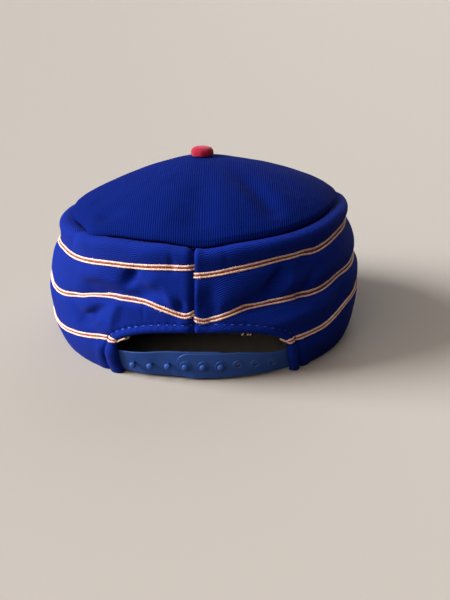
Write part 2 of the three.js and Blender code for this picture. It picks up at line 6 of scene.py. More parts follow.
import bmesh
import bpy
import numpy as np
from mathutils import Matrix, Vector, noise


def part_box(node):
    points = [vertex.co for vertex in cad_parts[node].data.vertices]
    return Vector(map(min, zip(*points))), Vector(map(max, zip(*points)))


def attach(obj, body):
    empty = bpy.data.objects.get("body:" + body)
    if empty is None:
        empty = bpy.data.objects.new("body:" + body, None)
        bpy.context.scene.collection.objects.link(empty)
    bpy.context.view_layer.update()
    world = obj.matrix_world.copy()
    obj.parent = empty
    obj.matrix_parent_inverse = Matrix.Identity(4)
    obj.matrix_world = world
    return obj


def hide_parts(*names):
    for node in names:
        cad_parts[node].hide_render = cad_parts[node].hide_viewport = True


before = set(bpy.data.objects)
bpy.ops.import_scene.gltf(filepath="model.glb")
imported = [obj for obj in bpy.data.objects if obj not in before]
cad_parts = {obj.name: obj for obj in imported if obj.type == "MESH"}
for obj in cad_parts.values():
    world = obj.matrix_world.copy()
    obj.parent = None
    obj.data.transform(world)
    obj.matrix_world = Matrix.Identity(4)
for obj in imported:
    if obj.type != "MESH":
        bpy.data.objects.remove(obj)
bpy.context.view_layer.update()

# Band of the crown: two halves of soft double-knit cloth, sewn together at the back and at the front, turned
# in at the top seam and rolled into a hem round the opening. Azimuths are in degrees from the middle of the
# back towards the wearer's left; a level is 0 at the rim and 1 at the seam under the top panel.
MM = 0.001
button_low, button_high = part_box("button")
button_shift = 1.2 * MM
button_x, button_y = (button_low.x + button_high.x) / 2, (button_low.y + button_high.y) / 2
cap_middle = Vector((button_x - button_shift, button_y, 0))

cloth_thickness = 1.6 * MM
rim_half_width, rim_half_length = 89.5 * MM, 93 * MM
mean_radius = (rim_half_width + rim_half_length) / 2
crown_height, crown_fullness = 73.5 * MM, 20 * MM
fold_depth = 6 * MM
seam_azimuth = math.degrees(3.3 * MM / mean_radius)
visor_half_angle, visor_half_width = 62, 84 * MM
visor_reach, visor_thickness, visor_arch, visor_tuck = 65 * MM, 3 * MM, 14 * MM, 6 * MM
rim_gap, ramp_clear, ramp_angle = 0.3 * MM, 7, 10

band_levels = np.array([0, 0.2, 0.42, 0.67, 0.89, 0.975, 1])
# azimuth, then how far out the band stands at each of those levels, as a share of its fullness
band_sections = np.array([
    (0, 0, 0.08, 0.24, 0.2, 0.02, -0.06, -0.34),
    (14, 0, 0.14, 0.24, 0.16, 0, -0.08, -0.4),
    (28, 0.04, 0.26, 0.3, 0.18, 0, -0.08, -0.4),
    (45, 0.1, 0.34, 0.36, 0.2, 0, -0.1, -0.45),
    (65, 0.1, 0.32, 0.34, 0.18, -0.08, -0.16, -0.56),
    (90, 0.05, 0.25, 0.33, 0.17, -0.12, -0.21, -0.62),
    (120, 0, 0.22, 0.3, 0.16, -0.1, -0.2, -0.58),
    (150, 0, 0.14, 0.24, 0.14, -0.06, -0.14, -0.48),
    (180, 0, 0.1, 0.2, 0.14, -0.04, -0.12, -0.42),
    (210, 0, 0.14, 0.24, 0.14, -0.06, -0.14, -0.48),
    (240, 0, 0.22, 0.3, 0.16, -0.1, -0.2, -0.58),
    (270, 0, 0.22, 0.29, 0.16, -0.14, -0.25, -0.62),
    (295, 0, 0.24, 0.3, 0.17, -0.1, -0.18, -0.56),
    (315, 0, 0.26, 0.3, 0.18, 0, -0.1, -0.48),
    (332, 0.04, 0.26, 0.28, 0.16, 0, -0.08, -0.42),
    (347, 0, 0.14, 0.24, 0.18, 0, -0.08, -0.38),
])
# azimuth, rise of the seam as a share of its height, slackness of the top panel towards it
seam_fit = np.array([
    (0, 0, 0.3), (14, 0.03, 0.4), (28, 0.03, 0.6), (45, 0, 0.8), (65, -0.03, 1), (90, -0.05, 1),
    (120, -0.08, 1), (150, -0.12, 1), (180, -0.14, 1), (210, -0.1, 1), (240, 0, 0.8), (270, 0.085, 0.3),
    (295, 0.1, 0.2), (315, 0.07, 0.3), (332, 0.045, 0.3), (347, 0.03, 0.3),
])
# azimuth and level of the middle, lean in degrees, half length and half width over the crown's height, depth
main_folds = [
    (22, 0.73, 18, 0.22, 0.05, 0.5),
    (43, 0.67, -8, 0.2, 0.06, 0.3),
    (44, 0.4, 34, 0.2, 0.06, 0.45),
    (358, 0.66, -60, 0.1, 0.06, 0.4),
    (330, 0.74, -24, 0.24, 0.05, 0.35),
    (308, 0.45, -30, 0.22, 0.07, 0.35),
]
# azimuth and level of the middle, lean in degrees, then half length, half width and depth in millimetres;
# a ridge has a depth below 0
small_folds = [
    (24.4, 0.765, -44, 6, 3.2, 3.3),
    (16.5, 0.76, -44, 6, 3.5, -0.8),
    (37, 0.62, -10, 14, 4, 1.6),
    (38, 0.74, -10, 14, 5, -1.2),
    (21, 0.66, -4, 10, 3, 2.6),
    (10, 0.645, 53, 5, 2.4, -1.7),
    (6.5, 0.61, 80, 3.2, 2.2, 1.8),
    (9.5, 0.9, 85, 4, 2, 0.9),
    (38.5, 0.45, -36, 10, 3.4, 3.4),
    (29.5, 0.49, -70, 10, 3, -1.2),
    (19, 0.53, 88, 6, 0.8, 0.35),
    (5.5, 0.49, 10, 4, 3, -1),
    (-8.5, 0.915, 80, 4.5, 1.8, 0.5),
    (-25, 0.95, 0, 14, 3, -0.7),
    (-3.6, 0.585, 82, 4, 2.8, 2),
    (-15, 0.59, -9, 13, 4, 2.6),
    (-19, 0.63, -35, 11, 7, 2.6),
    (-26, 0.72, -54, 9, 3.8, 4.4),
    (-31.5, 0.72, -54, 8, 3, -1.8),
    (-38.5, 0.65, -50, 9, 3.4, 3.2),
    (-3, 0.49, 85, 4, 2.6, 1.6),
    (-30, 0.46, -8, 14, 4, -2.4),
    (-36, 0.31, 6, 12, 3.4, 0.6),
    (-42, 0.46, 0, 18, 5, -1.6),
    (54, 0.95, -60, 7, 3.4, 1.2),
]
# azimuth from the middle of the back, then the levels of the top, middle and low rows of trim
left_trim = np.array([
    (2, 0.892, 0.566, 0.293), (5, 0.88, 0.545, 0.293), (12, 0.862, 0.577, 0.293), (20, 0.85, 0.614, 0.293),
    (30, 0.838, 0.611, 0.3), (40, 0.832, 0.596, 0.27), (50, 0.826, 0.53, 0.235), (64, 0.83, 0.5, 0.2),
    (76, 0.81, 0.5, 0.207), (90, 0.79, 0.5, 0.262), (106, 0.794, 0.51, 0.312), (180, 0.83, 0.56, 0.3),
])
right_trim = np.array([
    (-2, 0.836, 0.525, 0.28), (1, 0.84, 0.508, 0.28), (8, 0.847, 0.54, 0.28), (17, 0.858, 0.572, 0.28),
    (28, 0.868, 0.586, 0.285), (44, 0.855, 0.577, 0.298), (62, 0.876, 0.607, 0.39), (90, 0.89, 0.615, 0.41),
    (180, 0.83, 0.56, 0.3),
])


def smooth_curve(x, y, at):
    """A curve through the last axis of y at places x, which never overshoots them."""
    slope = np.diff(y, axis=-1) / np.diff(x)
    before = np.concatenate([slope[..., :1], slope], -1)
    after = np.concatenate([slope, slope[..., -1:]], -1)
    same = before * after > 0
    tangent = np.where(same, 2 * before * after / np.where(same, before + after, 1), 0)
    at = np.clip(at, x[0], x[-1])
    y = np.broadcast_to(y, at.shape + (len(x),))
    tangent = np.broadcast_to(tangent, y.shape)
    i = np.clip(np.searchsorted(x, at, side="right") - 1, 0, len(x) - 2)

    def pick(values, j):
        return np.take_along_axis(values, j[..., None], -1)[..., 0]

    step = x[i + 1] - x[i]
    t = (at - x[i]) / step
    low, high = pick(y, i), pick(y, i + 1)
    bend = pick(tangent, i) * step * t * (1 - t) ** 2 - pick(tangent, i + 1) * step * t * t * (1 - t)
    return low + (high - low) * t * t * (3 - 2 * t) + bend


def round_curve(table, column, azimuth):
    """One column of a table that goes right round, at azimuths in degrees."""
    at = np.concatenate([table[-2:, 0] - 360, table[:, 0], table[:2, 0] + 360])
    values = np.concatenate([table[-2:, column], table[:, column], table[:2, column]])
    return smooth_curve(at, values, np.asarray(azimuth, float) % 360)


def smooth_step(value, low, high):
    t = np.clip((value - low) / (high - low), 0, 1)
    return t * t * (3 - 2 * t)


def rim_height(azimuth):
    """The rim is level on the floor at the back and sides, and stands over the visor at the front."""
    from_front = np.abs(180 - np.asarray(azimuth, float) % 360)
    raised_angle = visor_half_angle + ramp_clear
    x = rim_half_width * np.sin(np.radians(np.minimum(from_front, raised_angle)))
    raised = visor_thickness + rim_gap + visor_arch * np.maximum(0, 1 - (x / visor_half_width) ** 2)
    return raised * (1 - smooth_step(from_front - raised_angle, 0, ramp_angle))


def from_azimuth(azimuth, at):
    """The way round the band from one azimuth to others."""
    return np.radians((azimuth - at + 180) % 360 - 180) * mean_radius


def fold_share(round_way, up, lean, length, width):
    """How much of a fold's depth is left beside its middle, where its long way leans up by lean degrees."""
    lean = math.radians(lean)
    along = (round_way * math.cos(lean) + up * math.sin(lean)) / length
    across = (up * math.cos(lean) - round_way * math.sin(lean)) / width
    return np.exp(-along**2 - across**2)


def band_shape(azimuth, level):
    """The main shape of the band's outer face, folds included."""
    azimuth, level = np.broadcast_arrays(np.asarray(azimuth, float), np.asarray(level, float))
    shares = np.stack([round_curve(band_sections, i + 1, azimuth) for i in range(len(band_levels))], -1)
    outward = crown_fullness * smooth_curve(band_levels, shares, level)
    for at, fold_level, lean, length, width, depth in main_folds:
        round_way, up = from_azimuth(azimuth, at) / crown_height, level - fold_level
        outward = outward - fold_depth * depth * fold_share(round_way, up, lean, length, width)
    turn = np.radians(azimuth)
    lifted = level + round_curve(seam_fit, 1, azimuth) * level**2
    height = rim_height(azimuth) * (1 - level) + crown_height * lifted
    x = (rim_half_width + outward) * np.sin(turn) + cap_middle.x
    y = (rim_half_length + outward) * np.cos(turn) + cap_middle.y
    return np.stack([x, y, height], -1)


def small_fold_depth(azimuth, level):
    """How far the small folds sink the band's cloth."""
    sunk = np.zeros(azimuth.shape)
    for at, fold_level, lean, length, width, depth in small_folds:
        up = (level - fold_level) * crown_height
        sunk += depth * MM * fold_share(from_azimuth(azimuth, at), up, lean, length * MM, width * MM)
    return sunk


def unit(vectors):
    return vectors / np.maximum(np.linalg.norm(vectors, axis=-1, keepdims=True), 1e-12)


def band_outward(azimuth, level):
    """The outward direction of the band."""
    round_way = band_shape(azimuth + 0.5, level) - band_shape(azimuth - 0.5, level)
    up = band_shape(azimuth, np.minimum(level + 0.01, 1)) - band_shape(azimuth, np.maximum(level - 0.01, 0))
    return unit(np.cross(up, round_way))


# the opening's size, and its outline in x and z from the right side's foot over the arch to the left one's
opening_x = cap_middle.x - 1 * MM
opening_half_width, opening_corner, opening_top = 44.5 * MM, 20.5 * MM, 30.8 * MM
# height, then how far the worn edges of the left and right sides stand outside the cut, in millimetres
edge_slack = np.array([(-3, 0, 3.2), (2, 0.8, 3), (7, 2.4, 2.4), (14, 2.8, 1.6), (20.5, 2.8, 0.2)])


def side_reach(x, z):
    """Half the opening's width at a height, on the side where x is."""
    heights = edge_slack[:, 0] * MM
    left, right = (smooth_curve(heights, edge_slack[:, i] * MM, z) for i in (1, 2))
    return opening_half_width + np.where(x > opening_x, left, right)


def arch_height(x):
    share = np.minimum(np.abs(x - opening_x) / side_reach(x, np.full(x.shape, opening_corner)), 1)
    return opening_corner + (opening_top - opening_corner) * (1 - share**2.6) ** 0.7


arch_steps, side_steps = 97, 23
arch_x = opening_x - np.cos(np.linspace(0, math.pi, arch_steps)) * side_reach(
    np.linspace(-1, 1, arch_steps), np.full(arch_steps, opening_corner)
)
side_z = np.linspace(-3 * MM, opening_corner, side_steps + 1)[:-1]
opening_outline = np.concatenate([
    np.stack([opening_x - side_reach(np.full(side_steps, -1.0), side_z), side_z], -1),
    np.stack([arch_x, arch_height(arch_x)], -1),
    np.stack([opening_x + side_reach(np.full(side_steps, 1.0), side_z[::-1]), side_z[::-1]], -1),
])


def from_opening(points):
    """How far points of the band are from the opening's edge, negative inside it, and the nearest place."""
    far_away = 1.0
    places = points[..., [0, 2]].reshape(-1, 2)
    best = np.full(len(places), far_away)
    nearest = np.zeros((len(places), 2))
    for start, end in zip(opening_outline[:-1], opening_outline[1:]):
        along = end - start
        share = np.clip((places - start) @ along / (along @ along), 0, 1)
        foot = start + share[:, None] * along
        distance = np.linalg.norm(places - foot, axis=1)
        closer = distance < best
        best[closer] = distance[closer]
        nearest[closer] = foot[closer]
    x, z = places.T
    inside = (np.abs(x - opening_x) < side_reach(x, z)) & (z < arch_height(x))
    best = np.where(inside, -best, best)
    best = np.where(points[..., 1].reshape(-1) < cap_middle.y, far_away, best)
    return best.reshape(points.shape[:-1]), nearest.reshape(points.shape[:-1] + (2,))


def bump_at(distance, middle, width):
    return np.exp(-(((distance - middle) / width) ** 2))


def wander(points, size, seed):
    """Smooth noise from -1 to 1, with lumps of about the given size."""
    flat = points.reshape(-1, 3) / size + seed
    return np.array([noise.noise(Vector(point)) for point in flat]).reshape(points.shape[:-1])


def trim_level(side, row, azimuth):
    table = left_trim if side > 0 else right_trim
    return smooth_curve(table[:, 0], table[:, row + 1], side * np.asarray(azimuth, float))


def edge_rounding(distance, reach):
    """How far a rounded edge drops: 1 at the edge, 0 past its reach."""
    return 1 - np.sqrt(1 - (1 - np.clip(distance / reach, 0, 1)) ** 2)


hem_stitch_pitch = 4.3 * MM
left_hem_width, right_hem_width, arch_hem_width = 7.4 * MM, 5.8 * MM, 4.6 * MM


def over_arch(place):
    """0 down the sides of the opening, 1 over its arch."""
    return smooth_step(place[..., 1], 12 * MM, 23 * MM)


def hem_reach(place):
    """The hem's width at a place of the opening's edge: wide down the sides, narrow over the arch."""
    side_width = np.where(place[..., 0] > opening_x, left_hem_width, right_hem_width)
    return side_width + (arch_hem_width - side_width) * over_arch(place)


edge_reach, foot_reach, edge_radius = 1.1 * MM, 1.2 * MM, 0.75 * MM
# depth and half width of the wide pull of a row of trim, then of the narrow bed that its cords lie in
row_pull, row_pull_width, row_bed, row_bed_width = 1 * MM, 3.4 * MM, 0.5 * MM, 1.9 * MM
# how far in millimetres the strips hang over the rows: the left middle row; the right top, middle and low
left_hang, right_hangs = 4.2, (2.6, 4.2, 1)
# depth, middle and half width in millimetres of the furrows beside the back seam, left half first
seam_furrows = {1: [(1.7, 0, 1.9), (-0.3, 5, 2.5)], -1: [(-0.45, 2, 2.2), (1.2, 0, 0.5)]}
front_furrow_depth, front_furrow_width = 0.7 * MM, 1.3 * MM
# how far the hem's tube stands out over the arch and how far the groove behind it cuts in, each with how
# much more it does so down the sides, where the cloth past the groove swells too
tube_rise, tube_more, groove_depth, groove_more, swell = 1.2 * MM, 0.7 * MM, 0.45 * MM, 0.35 * MM, 0.7 * MM
# the cloth under the lowest row stays close to the sweatband, and may sink more above it
least_sink, more_sink = 0.9 * MM, 5.8 * MM


def above_sweatband(level):
    return smooth_step(level, 0.4, 0.48)


def band_face(azimuth, level, side):
    """The finished outer face of one half of the band, its outward direction and how far it is sunk."""
    azimuth, level = np.broadcast_arrays(np.asarray(azimuth, float), np.asarray(level, float))
    base = band_shape(azimuth, level)
    outward = band_outward(azimuth, level)
    edge, nearest = from_opening(base)

    # small folds run across, the rows of trim pull the cloth in, and each strip hangs over the row under it
    sunk = small_fold_depth(azimuth, level)
    for row in range(3):
        from_row = (level - trim_level(side, row, azimuth)) * crown_height
        drawn = 0.4 + 0.6 * smooth_step(np.abs(azimuth), 50, 75)
        sunk = sunk + drawn * row_pull * bump_at(from_row, 0, row_pull_width)
        sunk = sunk + row_bed * bump_at(from_row, 0.4 * MM, row_bed_width)
        if side > 0:
            hang = left_hang * bump_at(azimuth, 37, 15) * (row == 1)
        else:
            hang = right_hangs[row] * smooth_step(-azimuth, 8, 28)
            hang = hang * (1 - 0.6 * smooth_step(-azimuth, 46, 66))
        over_row = (1 - smooth_step(from_row, 0, 9 * MM)) * smooth_step(from_row, -3.5 * MM, 0)
        sunk = sunk + hang * MM * over_row
    sunk = sunk * smooth_step(edge, 0, 6 * MM)

    # the cloth puffs up under the top seam
    seam = band_shape(azimuth, 1.0)
    from_top_seam = np.hypot(base[..., 0] - seam[..., 0], base[..., 1] - seam[..., 1])
    puff = (2 - 1 * bump_at(azimuth, 26, 13)) * MM
    sunk = sunk - puff * smooth_step(from_top_seam, 1.9 * MM, 3.4 * MM) * smooth_step(level, 0.85, 0.975)

    # the left half sinks at the back seam, the right half's folded edge stands up beside it
    from_seam = side * np.radians(azimuth - seam_azimuth) * mean_radius
    from_seam = np.where(np.abs(from_seam) > 0.2, 0.2, from_seam)
    for depth, middle, width in seam_furrows[side]:
        sunk = sunk + depth * MM * bump_at(from_seam, middle * MM, width * MM)
    from_front_seam = np.radians(180 - np.abs(azimuth)) * mean_radius
    sunk = sunk + front_furrow_depth * bump_at(from_front_seam, 0, front_furrow_width)
    uneven = 0.45 * MM * wander(base * [1, 1, 1.6], 19 * MM, 3.1) + 0.16 * MM * wander(base, 6 * MM, 8.4)
    sunk = sunk - uneven * smooth_step(1 - level, 0, 0.08)
    sunk = np.minimum(sunk, least_sink + more_sink * above_sweatband(level))

    # the hem is a tube with a groove and a row of stitches behind it
    hem_width = hem_reach(nearest)
    down_side = 1 - over_arch(nearest)
    across = np.clip(edge / hem_width, 0, 1)
    proud = (tube_rise + tube_more * down_side) * np.sin(math.pi * across) ** 0.7
    proud = proud - (groove_depth + groove_more * down_side) * bump_at(edge, hem_width, 0.8 * MM)
    proud = proud + swell * down_side * bump_at(edge, hem_width + 3.4 * MM, 2.4 * MM)
    pucker = np.sin(2 * math.pi * (nearest[..., 0] - nearest[..., 1]) / hem_stitch_pitch)
    proud = proud + 0.2 * MM * pucker * bump_at(edge, hem_width, 1.7 * MM) * (1 - down_side)

    # the cut edge and the fold at the rim are rounded
    proud = proud - edge_radius * edge_rounding(edge, edge_reach)
    proud = proud - edge_radius * edge_rounding(level * crown_height, foot_reach)
    face = base + outward * (proud - sunk)[..., None]
    face[..., 2] = np.maximum(face[..., 2], 0)
    return face, outward, sunk


def grid_faces(columns, rows, closed=False):
    """Corner numbers of the cells of a grid that is stored column by column."""
    at = np.arange(columns * rows).reshape(columns, rows)
    following = np.roll(at, -1, 0) if closed else at[1:]
    here = at if closed else at[:-1]
    return np.stack([here[:, :-1], following[:, :-1], following[:, 1:], here[:, 1:]], -1)


def new_mesh(name, points, edges, faces):
    mesh = bpy.data.meshes.new(name)
    mesh.from_pydata(np.reshape(points, (-1, 3)).tolist(), edges, faces)
    return mesh


def add_object(name, data):
    made = bpy.data.objects.new(name, data)
    bpy.context.collection.objects.link(made)
    return made


@contextlib.contextmanager
def opened(mesh):
    """Opens a mesh for changes and writes them back."""
    work = bmesh.new()
    work.from_mesh(mesh)
    yield work
    work.to_mesh(mesh)
    work.free()


def finish_mesh(name, mesh, material):
    """Closes a mesh's doubled points, smooths it and makes it an object."""
    with opened(mesh) as work:
        bmesh.ops.remove_doubles(work, verts=work.verts, dist=1e-6)
        bmesh.ops.dissolve_degenerate(work, edges=work.edges, dist=1e-7)
    mesh.polygons.foreach_set("use_smooth", [True] * len(mesh.polygons))
    mesh.materials.clear()
    mesh.materials.append(material)
    return add_object(name, mesh)


def shell_object(name, outer, inner, cells, flat_map, material):
    """A closed wall between two faces of the same layout; cells holds the corner numbers of their cells."""
    outer, inner = outer.reshape(-1, 3), inner.reshape(-1, 3)
    faces, uv = cells.reshape(-1, 4), flat_map.reshape(-1, 2)
    count = len(outer)
    edges = np.stack([faces, np.roll(faces, -1, 1)], -1).reshape(-1, 2)
    known = {tuple(edge) for edge in edges.tolist()}
    border = np.array([edge for edge in edges.tolist() if (edge[1], edge[0]) not in known])
    walls = np.stack([border[:, 1], border[:, 0], border[:, 0] + count, border[:, 1] + count], -1)
    everything = np.concatenate([faces, faces[:, ::-1] + count, walls])
    used, numbers = np.unique(everything, return_inverse=True)
    points = np.concatenate([outer, inner])[used]
    everything = numbers.reshape(everything.shape)
    corners = points[everything]
    volume = np.einsum("ij,ij->i", corners[:, 0], np.cross(corners[:, 1], corners[:, 2])).sum()
    volume += np.einsum("ij,ij->i", corners[:, 0], np.cross(corners[:, 2], corners[:, 3])).sum()
    if volume < 0:
        everything = everything[:, ::-1]
    mesh = new_mesh(name, points, [], everything.tolist())
    layer = mesh.uv_layers.new(name="cloth")
    layer.data.foreach_set("uv", np.concatenate([uv, uv])[used][everything.reshape(-1)].reshape(-1))
    return finish_mesh(name, mesh, material)


def dress(piece, node_names):
    """The piece rides on the cap and stands for the CAD nodes named."""
    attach(piece, "root")
    if node_names:
        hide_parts(*node_names)


def fill_inputs(tree, node, inputs):
    """Sets a node's inputs, each to a value or to another node's output."""
    for name, value in dict(inputs).items():
        if isinstance(value, bpy.types.NodeSocket):
            tree.links.new(value, node.inputs[name])
        else:
            node.inputs[name].default_value = value


def add_node(tree, kind, inputs=(), output=0, **settings):
    """One output of a new node, which has the given settings and inputs."""
    made = tree.nodes.new(kind)
    for name, value in settings.items():
        setattr(made, name, value)
    fill_inputs(tree, made, inputs)
    return made.outputs[output]


def calculate(tree, operation, *values):
    return add_node(tree, "ShaderNodeMath", dict(enumerate(values)), operation=operation)


def rescale(tree, value, low, high, to_low, to_high):
    inputs = {"Value": value, "From Min": low, "From Max": high, "To Min": to_low, "To Max": to_high}
    return add_node(tree, "ShaderNodeMapRange", inputs)


def noise_at(tree, place, scale, detail):
    return add_node(tree, "ShaderNodeTexNoise", {"Vector": place, "Scale": scale, "Detail": detail})


def open_group(name, kind, inputs, outputs):
    """A node group with named inputs and outputs; what it is given, and its last node."""
    group = bpy.data.node_groups.new(name, kind)
    for label, socket, value in inputs:
        made = group.interface.new_socket(label, in_out="INPUT", socket_type=f"NodeSocket{socket}")
        if value is not None:
            made.default_value = value
    for label, socket in outputs:
        group.interface.new_socket(label, in_out="OUTPUT", socket_type=f"NodeSocket{socket}")
    return group, group.nodes.new("NodeGroupInput").outputs, group.nodes.new("NodeGroupOutput")


def make_ribs():
    """Ribs of a knitted or twilled cloth: their height, and painted rib shade with random yarn tone."""
    group, given, result = open_group(
        "cloth_ribs",
        "ShaderNodeTree",
        [
            ("Vector", "Vector", None), ("Spacing", "Float", 1.4 * MM), ("Lean", "Float", 0.0),
            ("Yarn", "Float", 0.35),
        ],
        [("Height", "Float"), ("Shade", "Float")],
    )

    def maths(operation, *values):
        return calculate(group, operation, *values)

    def wave(turns):
        return rescale(group, maths("SINE", maths("MULTIPLY", turns, 2 * math.pi)), -1, 1, 0, 1)

    vector, spacing, yarn_depth = given["Vector"], given["Spacing"], given["Yarn"]
    round_rim = add_node(group, "ShaderNodeSeparateXYZ", {0: vector}, "X")
    along_rim, up = maths("ABSOLUTE", round_rim), round_rim.node.outputs["Y"]
    sine, cosine = maths("SINE", given["Lean"]), maths("COSINE", given["Lean"])
    across = maths("SUBTRACT", maths("MULTIPLY", up, cosine), maths("MULTIPLY", along_rim, sine))
    along = maths("ADD", maths("MULTIPLY", up, sine), maths("MULTIPLY", along_rim, cosine))
    drift, fuzz = noise_at(group, vector, 90, 2), noise_at(group, vector, 2600, 2)
    patches = noise_at(group, vector, 45, 3)
    turns = maths("ADD", maths("DIVIDE", across, spacing), maths("MULTIPLY", drift, 0.7))
    stagger = maths("MULTIPLY", maths("FLOOR", turns), 0.37)
    yarn = wave(maths("ADD", maths("DIVIDE", along, maths("MULTIPLY", spacing, 0.75)), stagger))
    yarn = maths("MULTIPLY_ADD", yarn, yarn_depth, maths("SUBTRACT", 1.0, yarn_depth))
    height = maths("MULTIPLY", wave(turns), yarn)
    # painted shade: the colour is darkened down into the valleys between ribs and lightened on their crests;
    # the fuzz and patches multiplied in below are random tone of the yarn
    rib_shade_and_tone = rescale(group, height, 0, 1, 0.7, 1.12)
    for cloud, dark, light in ((fuzz, 0.86, 1.14), (patches, 0.93, 1.07)):
        rib_shade_and_tone = maths("MULTIPLY", rib_shade_and_tone, rescale(group, cloud, 0.3, 0.7, dark, light))
    fill_inputs(group, result, {"Height": maths("MULTIPLY_ADD", fuzz, 0.35, height), "Shade": rib_shade_and_tone})
    return group


cloth_ribs = make_ribs()


def start_material(name):
    """A new material, its node tree and its shader."""
    material = bpy.data.materials.new(name)
    material.use_nodes = True
    return material, material.node_tree, material.node_tree.nodes["Principled BSDF"]


def bumpy(tree, height, strength, distance):
    return add_node(tree, "ShaderNodeBump", {"Height": height, "Strength": strength, "Distance": distance})


def cloth_material(
    name, colour, spacing, lean, relief, yarn=0.15, sheen=0.05, sheen_tint=(0.25, 0.3, 1, 1), shine=0.06
):
    """A cloth with ribs that follow the piece's own cloth map and lean by an angle in degrees."""
    material, tree, shader = start_material(name)
    place = add_node(tree, "ShaderNodeUVMap", uv_map="cloth")
    sizes = {"Vector": place, "Spacing": spacing, "Lean": math.radians(lean), "Yarn": yarn}
    rib_shade_and_tone = add_node(tree, "ShaderNodeGroup", sizes, "Shade", node_tree=cloth_ribs)
    # the base colour takes the ribs' painted shade and their random yarn tone
    tint = add_node(tree, "ShaderNodeVectorMath", {0: tuple(colour), "Scale": rib_shade_and_tone}, operation="SCALE")
    fill_inputs(tree, shader, {
        "Base Color": tint,
        "Normal": bumpy(tree, rib_shade_and_tone.node.outputs["Height"], 0.75, relief),
        "Roughness": 0.82,
        "Specular IOR Level": shine,
        "Sheen Weight": sheen,
        "Sheen Roughness": 0.45,
        "Sheen Tint": sheen_tint,
    })
    return material


royal_blue = (0.002, 0.0165, 0.225)
band_cloth = cloth_material("royal_blue_twill", royal_blue, 1.1 * MM, 24, 0.32 * MM)


def band_azimuths(side):
    """Azimuths of one half, close together round the opening."""
    beside = side * 46
    at_back = np.linspace(seam_azimuth, beside, 105)
    return np.concatenate([at_back[:-1], np.linspace(beside, side * 180, 145)])


def onto_edge(azimuth, level, target):
    """Azimuths and levels moved until the band's main shape meets places in x and z."""
    for _ in range(6):
        here = band_shape(azimuth, level)[..., [0, 2]]
        by_azimuth = (band_shape(azimuth + 0.1, level)[..., [0, 2]] - here) / 0.1
        by_level = (band_shape(azimuth, level + 0.002)[..., [0, 2]] - here) / 0.002
        miss = target - here
        size = by_azimuth[..., 0] * by_level[..., 1] - by_azimuth[..., 1] * by_level[..., 0]
        azimuth = azimuth + (miss[..., 0] * by_level[..., 1] - miss[..., 1] * by_level[..., 0]) / size
        level = level + (miss[..., 1] * by_azimuth[..., 0] - miss[..., 0] * by_azimuth[..., 1]) / size
        level = np.clip(level, 0, 1)
    return azimuth, level


def onto_band(target):
    """Azimuths and levels at which the band's main shape passes places in x and z behind the cap."""
    azimuth = np.degrees(np.arcsin((target[:, 0] - cap_middle.x) / mean_radius))
    return onto_edge(azimuth, target[:, 1] / crown_height, target)


levels = [np.linspace(0, 0.03, 5)[:-1], np.linspace(0.03, 0.92, 94), np.linspace(0.92, 1, 15)[1:]]
levels = np.concatenate(levels)
for side, name in ((1, "side_left"), (-1, "side_right")):
    azimuth, level = np.meshgrid(band_azimuths(side), levels, indexing="ij")
    edge, nearest = from_opening(band_shape(azimuth, level))

    # the cells that the opening cuts are drawn back to its edge, and those inside it are left out
    cells = grid_faces(*azimuth.shape)
    kept = cells[(edge.reshape(-1)[cells] > 0).sum(-1) >= 2]
    moved = np.zeros(azimuth.size, bool)
    moved[kept.reshape(-1)] = True
    moved = moved.reshape(azimuth.shape) & (edge < 0)
    azimuth[moved], level[moved] = onto_edge(azimuth[moved], level[moved], nearest[moved])
    face, outward, sunk = band_face(azimuth, level, side)
    base = band_shape(azimuth, level)
    edge, _ = from_opening(base)

    # the inner face follows the deep folds above the sweatband
    pinch = np.maximum(edge_rounding(edge, edge_reach), edge_rounding(level * crown_height, foot_reach))
    inset = cloth_thickness - 0.6 * MM * pinch
    inset = inset + (np.maximum(sunk - 0.4 * MM, 0) + np.minimum(sunk + 1 * MM, 0)) * above_sweatband(level)
    inner = base - outward * inset[..., None]
    inner[..., 2] = np.maximum(inner[..., 2], 0)
    climb = np.linalg.norm(np.diff(face, axis=1), axis=-1)
    climb = np.concatenate([np.zeros((len(climb), 1)), np.cumsum(climb, axis=1)], 1)
    flat_map = np.stack([np.radians(azimuth) * mean_radius, climb], -1)
    half = shell_object(f"{name}_cloth", face, inner, kept, flat_map, band_cloth)
    dress(half, [name])


